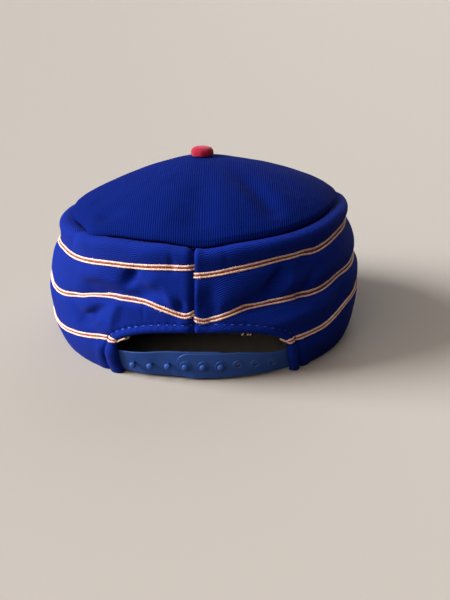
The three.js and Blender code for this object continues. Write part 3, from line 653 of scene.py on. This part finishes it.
# Stitches of the hem: a row of blue thread dashes, sewn through the rolled hem of the opening to hold it
# down, just behind its tube.
def make_stitches():
    """Dashes or knots of thread along a path, with a thin core that joins them where one is wanted."""
    tree, given, result = open_group(
        "thread_along_path",
        "GeometryNodeTree",
        [
            ("Path", "Geometry", None), ("Spacing", "Float", 1.0 * MM), ("Half Length", "Float", 0.6 * MM),
            ("Half Width", "Float", 0.4 * MM), ("Variation", "Float", 0.15), ("Wobble", "Float", 0.0),
            ("Core Radius", "Float", 0.0), ("Seed", "Int", 1), ("Material", "Material", None),
        ],
        [("Thread", "Geometry")],
    )

    def node(kind, inputs, output=0, **settings):
        return add_node(tree, kind, inputs, output, **settings)

    def vector(x, y, z):
        return node("ShaderNodeCombineXYZ", {"X": x, "Y": y, "Z": z})

    path = node("GeometryNodeMeshToCurve", {"Mesh": given["Path"]})
    dots = {"Curve": path, "Length": given["Spacing"]}
    dots = node("GeometryNodeCurveToPoints", dots, "Points", mode="LENGTH")
    bead = node("GeometryNodeMeshUVSphere", {"Segments": 8, "Rings": 5, "Radius": 1.0})
    seed, wobble, radius = given["Seed"], given["Wobble"], given["Core Radius"]
    low = calculate(tree, "SUBTRACT", 1.0, given["Variation"])
    high = calculate(tree, "ADD", 1.0, given["Variation"])
    vary = node("FunctionNodeRandomValue", {2: low, 3: high, "Seed": seed}, 1, data_type="FLOAT")
    width = calculate(tree, "MULTIPLY", given["Half Width"], vary)
    beads = node("GeometryNodeInstanceOnPoints", {
        "Points": dots, "Instance": bead, "Rotation": dots.node.outputs["Rotation"],
        "Scale": vector(width, width, given["Half Length"]),
    })
    back = calculate(tree, "MULTIPLY", wobble, -1.0)
    limits = {0: vector(back, back, back), 1: vector(wobble, wobble, wobble), "Seed": seed}
    shift = node("FunctionNodeRandomValue", limits, data_type="FLOAT_VECTOR")
    moved = {"Instances": beads, "Translation": shift, "Local Space": True}
    beads = node("GeometryNodeTranslateInstances", moved)
    beads = node("GeometryNodeRealizeInstances", {"Geometry": beads})
    ring = node("GeometryNodeCurvePrimitiveCircle", {"Resolution": 6, "Radius": radius})
    core = node("GeometryNodeCurveToMesh", {"Curve": path, "Profile Curve": ring, "Fill Caps": True})
    wanted = node("FunctionNodeCompare", {0: radius, 1: 0.0}, operation="GREATER_THAN")
    core = node("GeometryNodeSwitch", {"Switch": wanted, "True": core}, input_type="GEOMETRY")
    both = node("GeometryNodeJoinGeometry", {0: core})
    tree.links.new(beads, both.node.inputs[0])
    smooth = node("GeometryNodeSetShadeSmooth", {"Geometry": both, "Shade Smooth": True})
    coloured = node("GeometryNodeSetMaterial", {"Geometry": smooth, "Material": given["Material"]})
    tree.links.new(coloured, result.inputs["Thread"])
    return tree


thread_along_path = make_stitches()


def mesh_as_shown(piece):
    """A new mesh with what the piece's modifiers make of it."""
    bpy.context.view_layer.update()
    return bpy.data.meshes.new_from_object(piece.evaluated_get(bpy.context.evaluated_depsgraph_get()))


def sew(name, paths, material, **sizes):
    """A piece made of thread along paths, each a list of points; sizes are the thread's own inputs."""
    points, edges = [], []
    for path in paths:
        edges += [(len(points) + i, len(points) + i + 1) for i in range(len(path) - 1)]
        points += list(path)
    path_object = add_object(f"{name}_path", new_mesh(f"{name}_path", points, edges, []))
    maker = path_object.modifiers.new("thread", "NODES")
    maker.node_group = thread_along_path
    sizes["material"] = material
    for item in thread_along_path.interface.items_tree:
        label = item.name.lower().replace(" ", "_")
        if item.in_out == "INPUT" and label in sizes:
            maker[item.identifier] = sizes[label]
    thread = mesh_as_shown(path_object)
    bpy.data.objects.remove(path_object)
    thread.name = name
    return add_object(name, thread)


def two_shades(tree, mask, low, dark, high, light):
    """A colour that runs from dark to light as a mask runs from low to high."""
    ramp = add_node(tree, "ShaderNodeValToRGB", {"Fac": mask})
    for element, position, colour in zip(ramp.node.color_ramp.elements, (low, high), (dark, light)):
        element.position = position
        element.color = (*colour, 1)
    return ramp


def thread_material(name, light, dark, roughness=0.6):
    material, tree, shader = start_material(name)
    grain = noise_at(tree, add_node(tree, "ShaderNodeTexCoord", output="Object"), 900, 3)
    fill_inputs(tree, shader, {
        "Base Color": two_shades(tree, grain, 0.35, dark, 0.62, light),
        "Normal": bumpy(tree, grain, 0.6, 0.1 * MM),
        "Roughness": roughness,
        "Specular IOR Level": 0.3,
    })
    return material


blue_thread = thread_material("royal_blue_thread", (0.022, 0.075, 0.46), (0.01, 0.038, 0.3))
arch_edge = opening_outline[side_steps:-side_steps]
run = unit(arch_edge[[*range(1, len(arch_edge)), -1]] - arch_edge[[0, *range(len(arch_edge) - 1)]])
stitch_line = arch_edge + np.stack([-run[:, 1], run[:, 0]], -1) * hem_reach(arch_edge)[:, None]
seam_x = cap_middle.x + math.sin(math.radians(seam_azimuth)) * rim_half_length
hem_paths = []
for side in (1, -1):
    azimuth, level = onto_band(stitch_line[side * (stitch_line[:, 0] - seam_x) > 1.5 * MM])
    face, outward, _ = band_face(azimuth, level, side)
    hem_paths.append(face + outward * 0.2 * MM)
hem_stitches = sew(
    "hem_stitches", hem_paths, blue_thread,
    spacing=hem_stitch_pitch, half_length=1.1 * MM, half_width=0.36 * MM, variation=0.25, seed=4,
)
dress(hem_stitches, [])


# Cord trim: each row is a narrow braid of two cream cords with small picots and a sunken red-brown line
# between them. It is sewn flat to the band, so it follows every fold, and is tacked down behind the hem.
cream_cord = thread_material("cream_cord", (0.86, 0.63, 0.52), (0.62, 0.38, 0.3), 0.7)
red_brown_cord = thread_material("red_brown_cord", (0.36, 0.09, 0.06), (0.16, 0.025, 0.015), 0.7)
dark_thread = thread_material("dark_thread", (0.05, 0.02, 0.05), (0.02, 0.01, 0.02))
cord_spread, edge_clear = 0.92 * MM, 0.9 * MM
picots_in_row = 16
wrap_length = {1: 5 * MM, -1: 3 * MM}
loose_thread_x = (-21.9 * MM, -24.6 * MM, -26 * MM)


def wrapped_end(side, share):
    """Where a cord of the low row goes on round the hem and under the edge of the arch."""
    along = np.linspace(0.6 * MM, wrap_length[side], 8)
    corner = side_reach(np.full(8, float(side)), np.full(8, opening_corner))
    x = opening_x + side * (corner - along)
    azimuth, level = onto_band(np.stack([x, arch_height(x)], -1))
    place = band_shape(azimuth, level) - band_outward(azimuth, level) * (0.3 - 0.45 * share) * MM
    place[:, 2] -= 0.45 * MM * smooth_step(along, 0, 1.5 * MM)
    return place


tacks, loose_threads = [], []
for side, side_name in ((1, "left"), (-1, "right")):
    for row, row_name in enumerate(("top", "middle", "low")):
        azimuth = band_azimuths(side)
        azimuth = np.interp(np.arange(0, len(azimuth) - 1, 0.5), np.arange(len(azimuth)), azimuth)
        level = trim_level(side, row, azimuth)
        edge, nearest = from_opening(band_shape(azimuth, level))
        seen = edge > edge_clear
        cords, picots = [], []
        for share in (-1, 1, 0):
            face, outward, _ = band_face(azimuth, level + share * cord_spread / crown_height, side)
            cord = (face + outward * (0.42 * MM if share else 0.2 * MM))[seen]
            if row == 2:
                cord = np.concatenate([wrapped_end(side, share)[::-1], cord])
            cords.append(cord)
            if share:
                draw = np.random.default_rng(40 + row + 3 * side + 10 * share)
                for at in draw.integers(4, len(cord) - 4, picots_in_row):
                    away = (face + outward * 0.45 * MM)[seen][min(at, seen.sum() - 2)]
                    picots.append([away, away + [0, 0, share * draw.uniform(0.35, 0.75) * MM]])
        stripe, seed = f"stripe_{row_name}_{side_name}", row + 3 * side
        edges = sew(
            f"{stripe}_cords", cords[:2], cream_cord, spacing=0.95 * MM, half_length=0.8 * MM,
            half_width=0.54 * MM, variation=0.14, wobble=0.08 * MM, core_radius=0.5 * MM, seed=10 + seed,
        )
        middle = sew(
            f"{stripe}_middle", cords[2:], red_brown_cord, spacing=1.0 * MM, half_length=0.6 * MM,
            half_width=0.52 * MM, variation=0.12, core_radius=0.46 * MM, seed=20 + seed,
        )
        loops = sew(
            f"{stripe}_picots", picots, cream_cord, spacing=0.3 * MM, half_length=0.3 * MM,
            half_width=0.3 * MM, variation=0.3, seed=30 + row,
        )
        dress(edges, [stripe])
        dress(middle, [])
        dress(loops, [])

    # azimuth, level and the rest are now those of the low row, which is tacked down behind the hem
    behind_hem = np.argmin(np.abs(edge - hem_reach(nearest)) + (azimuth * side > 60))
    tack = []
    for reach in np.linspace(-1.8, 1.8, 7):
        tack_level = level[behind_hem] + reach * MM / crown_height
        face, outward, _ = band_face(azimuth[behind_hem], tack_level, side)
        tack.append(face + outward * (1.05 - 0.25 * reach**2) * MM)
    tacks.append(tack)
for x in loose_thread_x:
    x = np.array([cap_middle.x + x])
    thread_end = band_shape(*onto_band(np.stack([x, arch_height(x)], -1)))[0]
    loose_threads.append([thread_end + [0, 0, -0.3 * MM], thread_end + [0.5 * MM, 0.3 * MM, -0.7 * MM]])
thread_ends = sew(
    "loose_threads", loose_threads, cream_cord,
    spacing=0.3 * MM, half_length=0.35 * MM, half_width=0.32 * MM, variation=0.3, seed=12,
)
dress(thread_ends, [])
trim_tacks = sew(
    "trim_tacks", tacks, dark_thread,
    spacing=0.5 * MM, half_length=0.35 * MM, half_width=0.3 * MM, core_radius=0.28 * MM, seed=9,
)
dress(trim_tacks, [])


# Top panel: one round of the same cloth with its ribs from front to back, sewn to the band with its edge
# rolled over. It is full and domed at the back and slack at the front, with soft dents towards the seam.
top_rise, seam_step = 31 * MM, 1.8 * MM
# share of the seam's plan, then shares of the rise where the cloth is full and where it is slack
top_section = np.array([
    (1, 0, 0), (1.012, 0.06, 0.06), (1.004, 0.14, 0.14), (0.965, 0.25, 0.22), (0.88, 0.42, 0.34),
    (0.74, 0.62, 0.5), (0.56, 0.8, 0.68), (0.36, 0.92, 0.84), (0.16, 0.985, 0.96), (0, 1, 1),
])
# azimuth and share of the mean radius of the middle, turn of the long way, half length, half width, depth
top_dents = [
    (42, 0.87, -48, 0.1, 0.08, 0.5),
    (64, 0.84, 20, 0.12, 0.05, -0.15),
    (-31, 0.66, -28.5, 0.25, 0.07, 0.42),
    (-44, 0.66, -28.5, 0.3, 0.08, -0.08),
    (2, 0.74, 2, 0.28, 0.1, 0.26),
    (-54, 0.66, -56, 0.24, 0.03, 0.05),
    (150, 0.45, 80, 0.4, 0.14, 0.3),
]


def top_face(azimuth, place):
    """The top panel's outer face; place runs through the rows of its section, from edge to middle."""
    azimuth, place = np.broadcast_arrays(np.asarray(azimuth, float), np.asarray(place, float))
    rows = np.arange(len(top_section))
    out, full, slack = (smooth_curve(rows, top_section[:, i], place) for i in range(3))
    seam = band_shape(azimuth, 1.0) - np.array(cap_middle)
    reach = np.hypot(seam[..., 0], seam[..., 1])
    corner = bump_at(azimuth, 43, 7) - 0.45 * bump_at(azimuth, 62, 9)
    share = out * (reach + seam_step + 3 * MM * corner * smooth_step(out, 0.6, 1)) / reach
    slackness = round_curve(seam_fit, 2, azimuth)
    rise = full + (slack - full) * slackness
    edge_height = seam[..., 2] + rim_gap - 1 * MM * corner
    x, y = seam[..., 0] * share, seam[..., 1] * share
    dents = np.zeros_like(x)
    for at, from_middle, turn, length, width, depth in top_dents:
        across = x / mean_radius - from_middle * math.sin(math.radians(at))
        back = y / mean_radius - from_middle * math.cos(math.radians(at))
        dents += fold_depth * depth * fold_share(back, across, turn, length, width)
    dents *= 1 - smooth_step(out, 0.88, 0.99)
    z = edge_height + (crown_height + top_rise - edge_height) * rise - dents
    return np.stack([x + cap_middle.x, y + cap_middle.y, z], -1)


last_place = len(top_section) - 1
places = np.concatenate([np.linspace(0, 3, 34)[:-1], np.linspace(3, last_place, 76)])
azimuth, place = np.meshgrid(np.linspace(0, 360, 361)[:-1], places, indexing="ij")
top = top_face(azimuth, place)
round_way = top_face(azimuth + 0.5, place) - top_face(azimuth - 0.5, place)
inward = top_face(azimuth, np.minimum(place + 0.02, last_place))
inward = inward - top_face(azimuth, np.maximum(place - 0.02, 0))
top_outward = unit(np.cross(inward, round_way))
# the middle faces straight up and the edge straight out
top_outward[:, -1] = (0, 0, 1)
top_outward[:, 0, 2] = 0
top_outward = unit(top_outward)
inner = top - top_outward * cloth_thickness
uneven = 0.4 * MM * wander(top, 24 * MM, 5.7) + 0.15 * MM * wander(top, 7 * MM, 1.3)
under = 0.9 * MM * (1 - smooth_step(place, 0, 0.5))
top = top + top_outward * (uneven * smooth_step(place, 0, 2) - under)[..., None]
# painted shade: the top is given the band's blue darkened to 0.54 of it, a shaded copy of the same cloth
shaded_top_cloth = cloth_material(
    "royal_blue_rib", [0.54 * share for share in royal_blue], 1.2 * MM, 90, 0.24 * MM, sheen=0.03, shine=0.02
)
flat_map = top[..., :2] - np.array(cap_middle)[:2]
top_cells = grid_faces(*azimuth.shape, closed=True)
dress(shell_object("top_panel", top, inner, top_cells, flat_map, shaded_top_cloth), ["crown_top"])


# Button: a small dome covered with red satin-faced cloth, drawn tight over it and pressed onto the middle of
# the top.
def outward_faces(piece):
    with opened(piece.data) as work:
        bmesh.ops.recalc_face_normals(work, faces=work.faces)
    return piece


button_radius, button_height = 6.75 * MM, 5.4 * MM
# shares of the radius and of the height
button_section = np.array([
    (0, 0), (0.9, 0), (0.975, 0.05), (1, 0.18), (1, 0.36), (0.965, 0.56), (0.86, 0.76), (0.66, 0.9),
    (0.36, 0.98), (0, 1),
])
turns = np.linspace(0, 2 * math.pi, 73)[:-1]
steps = np.linspace(0, len(button_section) - 1, 46)
turn, step = np.meshgrid(turns, steps, indexing="ij")
rows = np.arange(len(button_section))
out = smooth_curve(rows, button_section[:, 0], step) * button_radius
up = smooth_curve(rows, button_section[:, 1], step) * button_height
out = out * (1 + 0.012 * np.sin(9 * turn + 0.7) * smooth_step(out, 0.6 * button_radius, button_radius))
points = np.stack([
    button_x + out * np.cos(turn),
    button_y + out * np.sin(turn),
    button_low.z + up,
], -1)
faces = grid_faces(*turn.shape, closed=True).reshape(-1, 4)
mesh = new_mesh("button_cover", points, [], faces.tolist())
layer = mesh.uv_layers.new(name="cloth")
around = [mesh.vertices[loop.vertex_index].co - Vector(cap_middle) for loop in mesh.loops]
layer.data.foreach_set("uv", [value for place in around for value in (place.x + 0.05, place.y + place.z)])
button_cloth = cloth_material(
    "red_satin", (0.33, 0.012, 0.04), 0.5 * MM, 90, 0.05 * MM,
    yarn=0.5, sheen=0.4, sheen_tint=(1, 0.5, 0.6, 1),
)
button = outward_faces(finish_mesh("button_cover", mesh, button_cloth))
dress(button, ["button"])


# Visor: a stiff board covered with the same cloth, arched across and tucked under the front of the band,
# with rows of stitching that follow its outer edge.
def visor_point(t, s, depth):
    """t runs from one end to the other, -1 to 1; s from the band to the edge; depth is below the top."""
    end_angle = math.radians(visor_half_angle)
    back_edge = rim_half_length * math.cos(end_angle)
    tip = rim_half_length + visor_reach
    turn = t * end_angle
    tuck = (mean_radius - visor_tuck) / mean_radius
    inner_x = rim_half_width * np.sin(turn) * tuck
    inner_y = -rim_half_length * np.cos(turn) * tuck
    sweep = t * math.pi / 2
    outer_x = visor_half_width * np.sign(t) * np.abs(np.sin(sweep)) ** 0.8
    outer_y = -back_edge - (tip - back_edge) * np.abs(np.cos(sweep)) ** 0.8
    x = inner_x + (outer_x - inner_x) * s
    y = inner_y + (outer_y - inner_y) * s
    arch_x = rim_half_width * np.sin(turn) * (1 - s) + x * s
    arch = visor_arch * np.maximum(0, 1 - (arch_x / visor_half_width) ** 2) * (1 - 0.45 * s * s)
    return np.stack([x + cap_middle.x, y + cap_middle.y, visor_thickness + arch - depth], -1)


def edge_span(t):
    gap = visor_point(t, 1.0, 0.0) - visor_point(t, 0.0, 0.0)
    return np.maximum(np.linalg.norm(gap, axis=-1), 1 * MM)


visor_rows = np.arange(5, 47, 7) * MM
across = np.sin(np.linspace(-1, 1, 161) * math.pi / 2)
outwards = 1 - (1 - np.linspace(0, 1, 61)) ** 1.6
t, s = np.meshgrid(across, outwards, indexing="ij")
from_edge = np.minimum((1 - s) * edge_span(t), (1 - np.abs(t)) * 110 * MM)
rounding = 1.4 * MM * edge_rounding(from_edge, 1.5 * MM)
furrow = sum(0.22 * MM * bump_at((1 - s) * edge_span(t), row, 0.9 * MM) for row in visor_rows)
top_side = visor_point(t, s, rounding + furrow)
under_side = visor_point(t, s, visor_thickness - rounding - furrow)
visor_cloth = cloth_material("royal_blue_visor_twill", royal_blue, 1.2 * MM, 60, 0.2 * MM)
flat_map = top_side[..., :2] - np.array(cap_middle)[:2]
visor = shell_object("visor_cover", top_side, under_side, grid_faces(*t.shape), flat_map, visor_cloth)
dress(visor, ["visor"])
visor_paths = []
for row in visor_rows:
    place = np.linspace(-0.985, 0.985, 120)
    reach = 1 - row / edge_span(place)
    place, reach = place[reach > 0.12], reach[reach > 0.12]
    visor_paths.append(visor_point(place, reach, 0.1 * MM))
visor_stitches = sew(
    "visor_stitches", visor_paths, blue_thread,
    spacing=3.4 * MM, half_length=1.25 * MM, half_width=0.3 * MM, variation=0.15, seed=7,
)
dress(visor_stitches, [])


# Sweatband: a strip of cream cotton inside the rim, sewn along its lower edge and laid over the ends of the
# strap. Its two ends show at the corners of the opening.
sweat_width, sweat_thickness, sweat_lift = 28 * MM, 1.2 * MM, 0.6 * MM
strap_thickness = 1.1 * MM
strap_layer = strap_thickness + rim_gap
strap_end_angle = math.degrees((44.5 + 16) * MM / (rim_half_length - cloth_thickness)) + 1
sweat_end = math.degrees(math.asin((opening_half_width + 4.5 * MM) / rim_half_width))
way_round, share = np.meshgrid(np.linspace(-1, 1, 420), np.linspace(0, 1, 26), indexing="ij")
corner = np.where(way_round < 0, 8, 4) * smooth_step(share, 0.6, 0.78) * np.abs(way_round) ** 8
azimuth = 180 + way_round * (180 - sweat_end + corner)
level = (sweat_lift + sweat_width * share) / crown_height
base, outward = band_shape(azimuth, level), band_outward(azimuth, level)
from_back = np.minimum(azimuth, 360 - azimuth)
over_strap = 1 - smooth_step(from_back, strap_end_angle, strap_end_angle + 14)
depth = cloth_thickness + rim_gap + strap_layer * over_strap
ripple = 0.35 * MM * wander(base, 12 * MM, 6.2) * smooth_step(share, 0, 0.3)
rounding = 0.45 * MM * edge_rounding(np.minimum(share, 1 - share), 0.04)
outer = base - outward * (depth + rounding + np.abs(ripple))[..., None]
inner = base - outward * (depth + sweat_thickness - rounding + np.abs(ripple))[..., None]
flat_map = np.stack([np.radians(azimuth) * mean_radius, level * crown_height], -1)
cotton = cloth_material(
    "cream_cotton", (0.66, 0.55, 0.4), 0.9 * MM, 0, 0.12 * MM, yarn=0.5, sheen=0.2, sheen_tint=(1, 1, 1, 1)
)
sweatband = shell_object("sweatband_cotton", outer, inner, grid_faces(*azimuth.shape), flat_map, cotton)
dress(sweatband, ["sweatband"])


# Snap strap: two strips of smooth, slightly translucent blue plastic. The right one has holes with raised
# collars and lies over the left one, whose pegs are pressed through the first three holes; three stay free.
strap_width, strap_end_width, strap_lift = 15.3 * MM, 13.6 * MM, 1.1 * MM
strap_radius = rim_half_length - cloth_thickness
strap_reach = opening_half_width + 16 * MM
fastened_shift, peg_pitch, end_margin = 9 * MM, 9.7 * MM, 5.4 * MM
pegs_free, pegs_home, holes_free = 3, 3, 3
holes_end = fastened_shift + end_margin
pegs_end = fastened_shift - (pegs_home - 1) * peg_pitch - end_margin


def pegged_depth(along):
    return rim_gap + strap_layer * (1 - smooth_step(along, holes_end + 2 * MM, opening_half_width - 10 * MM))


def holed_depth(along):
    return np.full(np.shape(along), rim_gap)


def strap_point(along, share, depth):
    """A point on the strap: a length round it, a share of its width up and a depth inside the band."""
    azimuth = np.degrees(along / strap_radius)
    ease = smooth_step(np.abs(along), opening_half_width * 0.4, opening_half_width)
    width = strap_width + (strap_end_width - strap_width) * ease
    ends = []
    for height in (np.full_like(width, strap_lift), strap_lift + width):
        level = height / crown_height
        inside = band_outward(azimuth, level) * (cloth_thickness + depth)[..., None]
        ends.append(band_shape(azimuth, level) - inside)
    return ends[0] + (ends[1] - ends[0]) * share[..., None]


strap_plastic, tree, shader = start_material("blue_strap_plastic")
place = add_node(tree, "ShaderNodeTexCoord", output="Object")
cloud = noise_at(tree, place, 70, 4)
fill_inputs(tree, shader, {
    "Base Color": two_shades(tree, cloud, 0.3, (0.017, 0.058, 0.25), 0.7, (0.024, 0.077, 0.31)),
    "Roughness": rescale(tree, cloud, 0.3, 0.7, 0.36, 0.5),
    "Normal": bumpy(tree, noise_at(tree, place, 900, 3), 0.25, 0.05 * MM),
    "Specular IOR Level": 0.22,
})


def strap_strip(name, end, side, depth_at):
    """A strip with one round end and bevelled edges; side says which way it runs from that end."""
    radius = strap_width / 2
    length = abs(side * strap_reach - end)
    round_end = radius * (1 - np.cos(np.linspace(0, math.pi / 2, 25)[:-1]))
    past = np.concatenate([round_end, np.linspace(radius, length, 110)])
    half = np.sqrt(np.maximum(radius**2 - (radius - past) ** 2, 0)) / strap_width
    half = np.maximum(np.where(past < radius, half, 0.5), 0.02)
    bevel = 0.3 * MM
    ring = [(-1, bevel), (-1 + 2 * bevel / strap_width, 0), (1 - 2 * bevel / strap_width, 0), (1, bevel)]
    ring += [(share, strap_thickness - extra) for share, extra in reversed(ring)]
    along = end + side * past
    depth = depth_at(along)
    points = np.stack([strap_point(along, 0.5 + share * half, depth + extra) for share, extra in ring])
    at = np.arange(len(ring) * len(past)).reshape(len(ring), -1)
    faces = grid_faces(*at.shape, closed=True).reshape(-1, 4).tolist()
    faces += [at[:, 0].tolist()[::-1], at[:, -1].tolist()]
    strip = finish_mesh(name, new_mesh(name, points, [], faces), strap_plastic)
    strip.data.polygons.foreach_set("use_smooth", [False] * len(strip.data.polygons))
    return outward_faces(strip)


def strap_frame(along, depth_at):
    """Where a peg or hole stands on the strap, with its Z axis pointing out."""
    at = np.array([float(along)])
    middle = np.array([0.5])
    face = Vector(strap_point(at, middle, depth_at(at))[0])
    behind = Vector(strap_point(at, middle, depth_at(at) + strap_thickness)[0])
    turn = (face - behind).to_track_quat("Z", "Y").to_matrix().to_4x4()
    return Matrix.Translation(face) @ turn


def turned_piece(name, profile, place, sides=28):
    """A turned shape from (radius, height) pairs, set at a place."""
    turns = np.linspace(0, 2 * math.pi, sides + 1)[:-1]
    points = []
    for turn in turns:
        points += [place @ Vector((out * math.cos(turn), out * math.sin(turn), up)) for out, up in profile]
    faces = grid_faces(sides, len(profile), closed=True).reshape(-1, 4).tolist()
    return outward_faces(finish_mesh(name, new_mesh(name, points, [], faces), strap_plastic))


def join_into(piece, others):
    """The other pieces' faces become part of the first one."""
    with opened(piece.data) as work:
        for other in others:
            work.from_mesh(other.data)
            bpy.data.objects.remove(other)


head_start = strap_layer + 0.75 * MM
peg_foot, stem_radius, head_radius, head_height = -0.4 * MM, 0.8 * MM, 1.95 * MM, 0.75 * MM
peg_profile = [(0, peg_foot), (stem_radius, peg_foot)]
peg_profile += [(stem_radius, head_start - 0.1 * MM), (0.95 * MM, head_start)]
for angle in np.linspace(-1.2, math.pi / 2, 12):
    dome = (1.05 if angle > 0 else 0.7) * MM * math.sin(angle)
    peg_profile.append((head_radius * math.cos(angle), head_start + head_height + dome))
peg_profile[-1] = (0, peg_profile[-1][1])
pegged = strap_strip("strap_left", pegs_end, 1, pegged_depth)
pegs = []
for i in range(1 - pegs_home, pegs_free + 1):
    place = strap_frame(fastened_shift + i * peg_pitch, pegged_depth)
    pegs.append(turned_piece(f"peg_{i}", peg_profile, place))
join_into(pegged, pegs)
dress(pegged, ["strap_pegs"])

holed = strap_strip("strap_right", holes_end, -1, holed_depth)
# radius and height in millimetres round a collar's section
collar_section = [
    (1.25, -0.3), (1.25, 0.3), (1.4, 0.42), (1.7, 0.45), (2.3, 0.2), (2.6, 0.35), (2.85, 0.4), (3.05, 0.25),
    (3.05, -0.3), (1.25, -0.3),
]
collar_profile = [(radius * MM, height * MM) for radius, height in collar_section]
drill_profile = [(0, -4 * MM), (1.2 * MM, -4 * MM), (1.2 * MM, 4 * MM), (0, 4 * MM)]
collars = []
for i in range(pegs_home + holes_free):
    place = strap_frame(fastened_shift - i * peg_pitch, holed_depth)
    drill = turned_piece(f"drill_{i}", drill_profile, place)
    cut = holed.modifiers.new("hole", "BOOLEAN")
    cut.operation, cut.solver, cut.object = "DIFFERENCE", "EXACT", drill
    drilled = mesh_as_shown(holed)
    holed.modifiers.remove(cut)
    holed.data = drilled
    bpy.data.objects.remove(drill)
    collars.append(turned_piece(f"collar_{i}", collar_profile, place))
# drilling leaves slivers thinner than a hair where a cut runs close to an edge
with opened(holed.data) as work:
    bmesh.ops.triangulate(work, faces=work.faces)
    bmesh.ops.remove_doubles(work, verts=work.verts, dist=0.01 * MM)
    bmesh.ops.dissolve_degenerate(work, edges=work.edges, dist=0.01 * MM)
join_into(holed, collars)
dress(holed, ["strap_holes"])


# Floor, light and camera: a pale floor that the rim rests on, low window light from the wearer's left, warm
# light from the room behind the camera, and the photograph's view.
floor_reach = 40
seen_floor, lit_floor = (0.37, 0.352, 0.33, 1), (0.12, 0.11, 0.1, 1)
pale_floor, tree, shader = start_material("pale_floor")
seen = add_node(tree, "ShaderNodeLightPath", output="Is Camera Ray")
floor_colour = add_node(tree, "ShaderNodeMix", {0: seen, 6: lit_floor, 7: seen_floor}, 2, data_type="RGBA")
fill_inputs(tree, shader, {"Base Color": floor_colour, "Roughness": 0.7})
corners = [(x * floor_reach, y * floor_reach, 0) for x, y in ((-1, -1), (1, -1), (1, 1), (-1, 1))]
floor_mesh = new_mesh("floor", corners, [], [(0, 1, 2, 3)])
floor_mesh.materials.append(pale_floor)
floor = add_object("floor", floor_mesh)

# name, where the light comes from, its strength, its width in degrees and its colour
for name, towards, energy, width, colour in (
    ("window", (0.86, 0.05, 0.48), 7.3, 36, (1, 0.985, 0.96)),
    ("room", (0.42, 0.58, 0.7), 1.85, 70, (1, 0.82, 0.7)),
    ("front_fill", (-0.35, -0.8, 0.5), 0.8, 60, (1, 1, 1)),
):
    light = bpy.data.lights.new(name, "SUN")
    light.energy, light.angle, light.color = energy, math.radians(width), colour
    lamp = add_object(name, light)
    lamp.location = towards
    lamp.rotation_euler = Vector(towards).to_track_quat("Z", "Y").to_euler()

world = bpy.data.worlds.new("room_light")
world.use_nodes = True
tree = world.node_tree
background = tree.nodes["Background"]
fill_inputs(tree, background, {"Color": (0.9, 0.9, 0.92, 1), "Strength": 0.035})
backdrop = add_node(tree, "ShaderNodeBackground", {"Color": (0.7, 0.66, 0.62, 1), "Strength": 0.95})
seen = add_node(tree, "ShaderNodeLightPath", output="Is Camera Ray")
sky = add_node(tree, "ShaderNodeMixShader", {0: seen, 1: background.outputs[0], 2: backdrop})
tree.links.new(sky, tree.nodes["World Output"].inputs["Surface"])
bpy.context.scene.world = world
bpy.context.scene.view_settings.view_transform = "Standard"

camera_data = bpy.data.cameras.new("camera")
camera_data.lens = 48
camera_data.sensor_width = 36
camera_data.clip_start = 0.01
camera = add_object("camera", camera_data)
camera.location = cap_middle + Vector((-12.4, 479, 199)) * MM
camera.rotation_euler = (math.radians(90 - 21.4), 0, math.radians(180))
bpy.context.scene.camera = camera

bpy.context.view_layer.update()
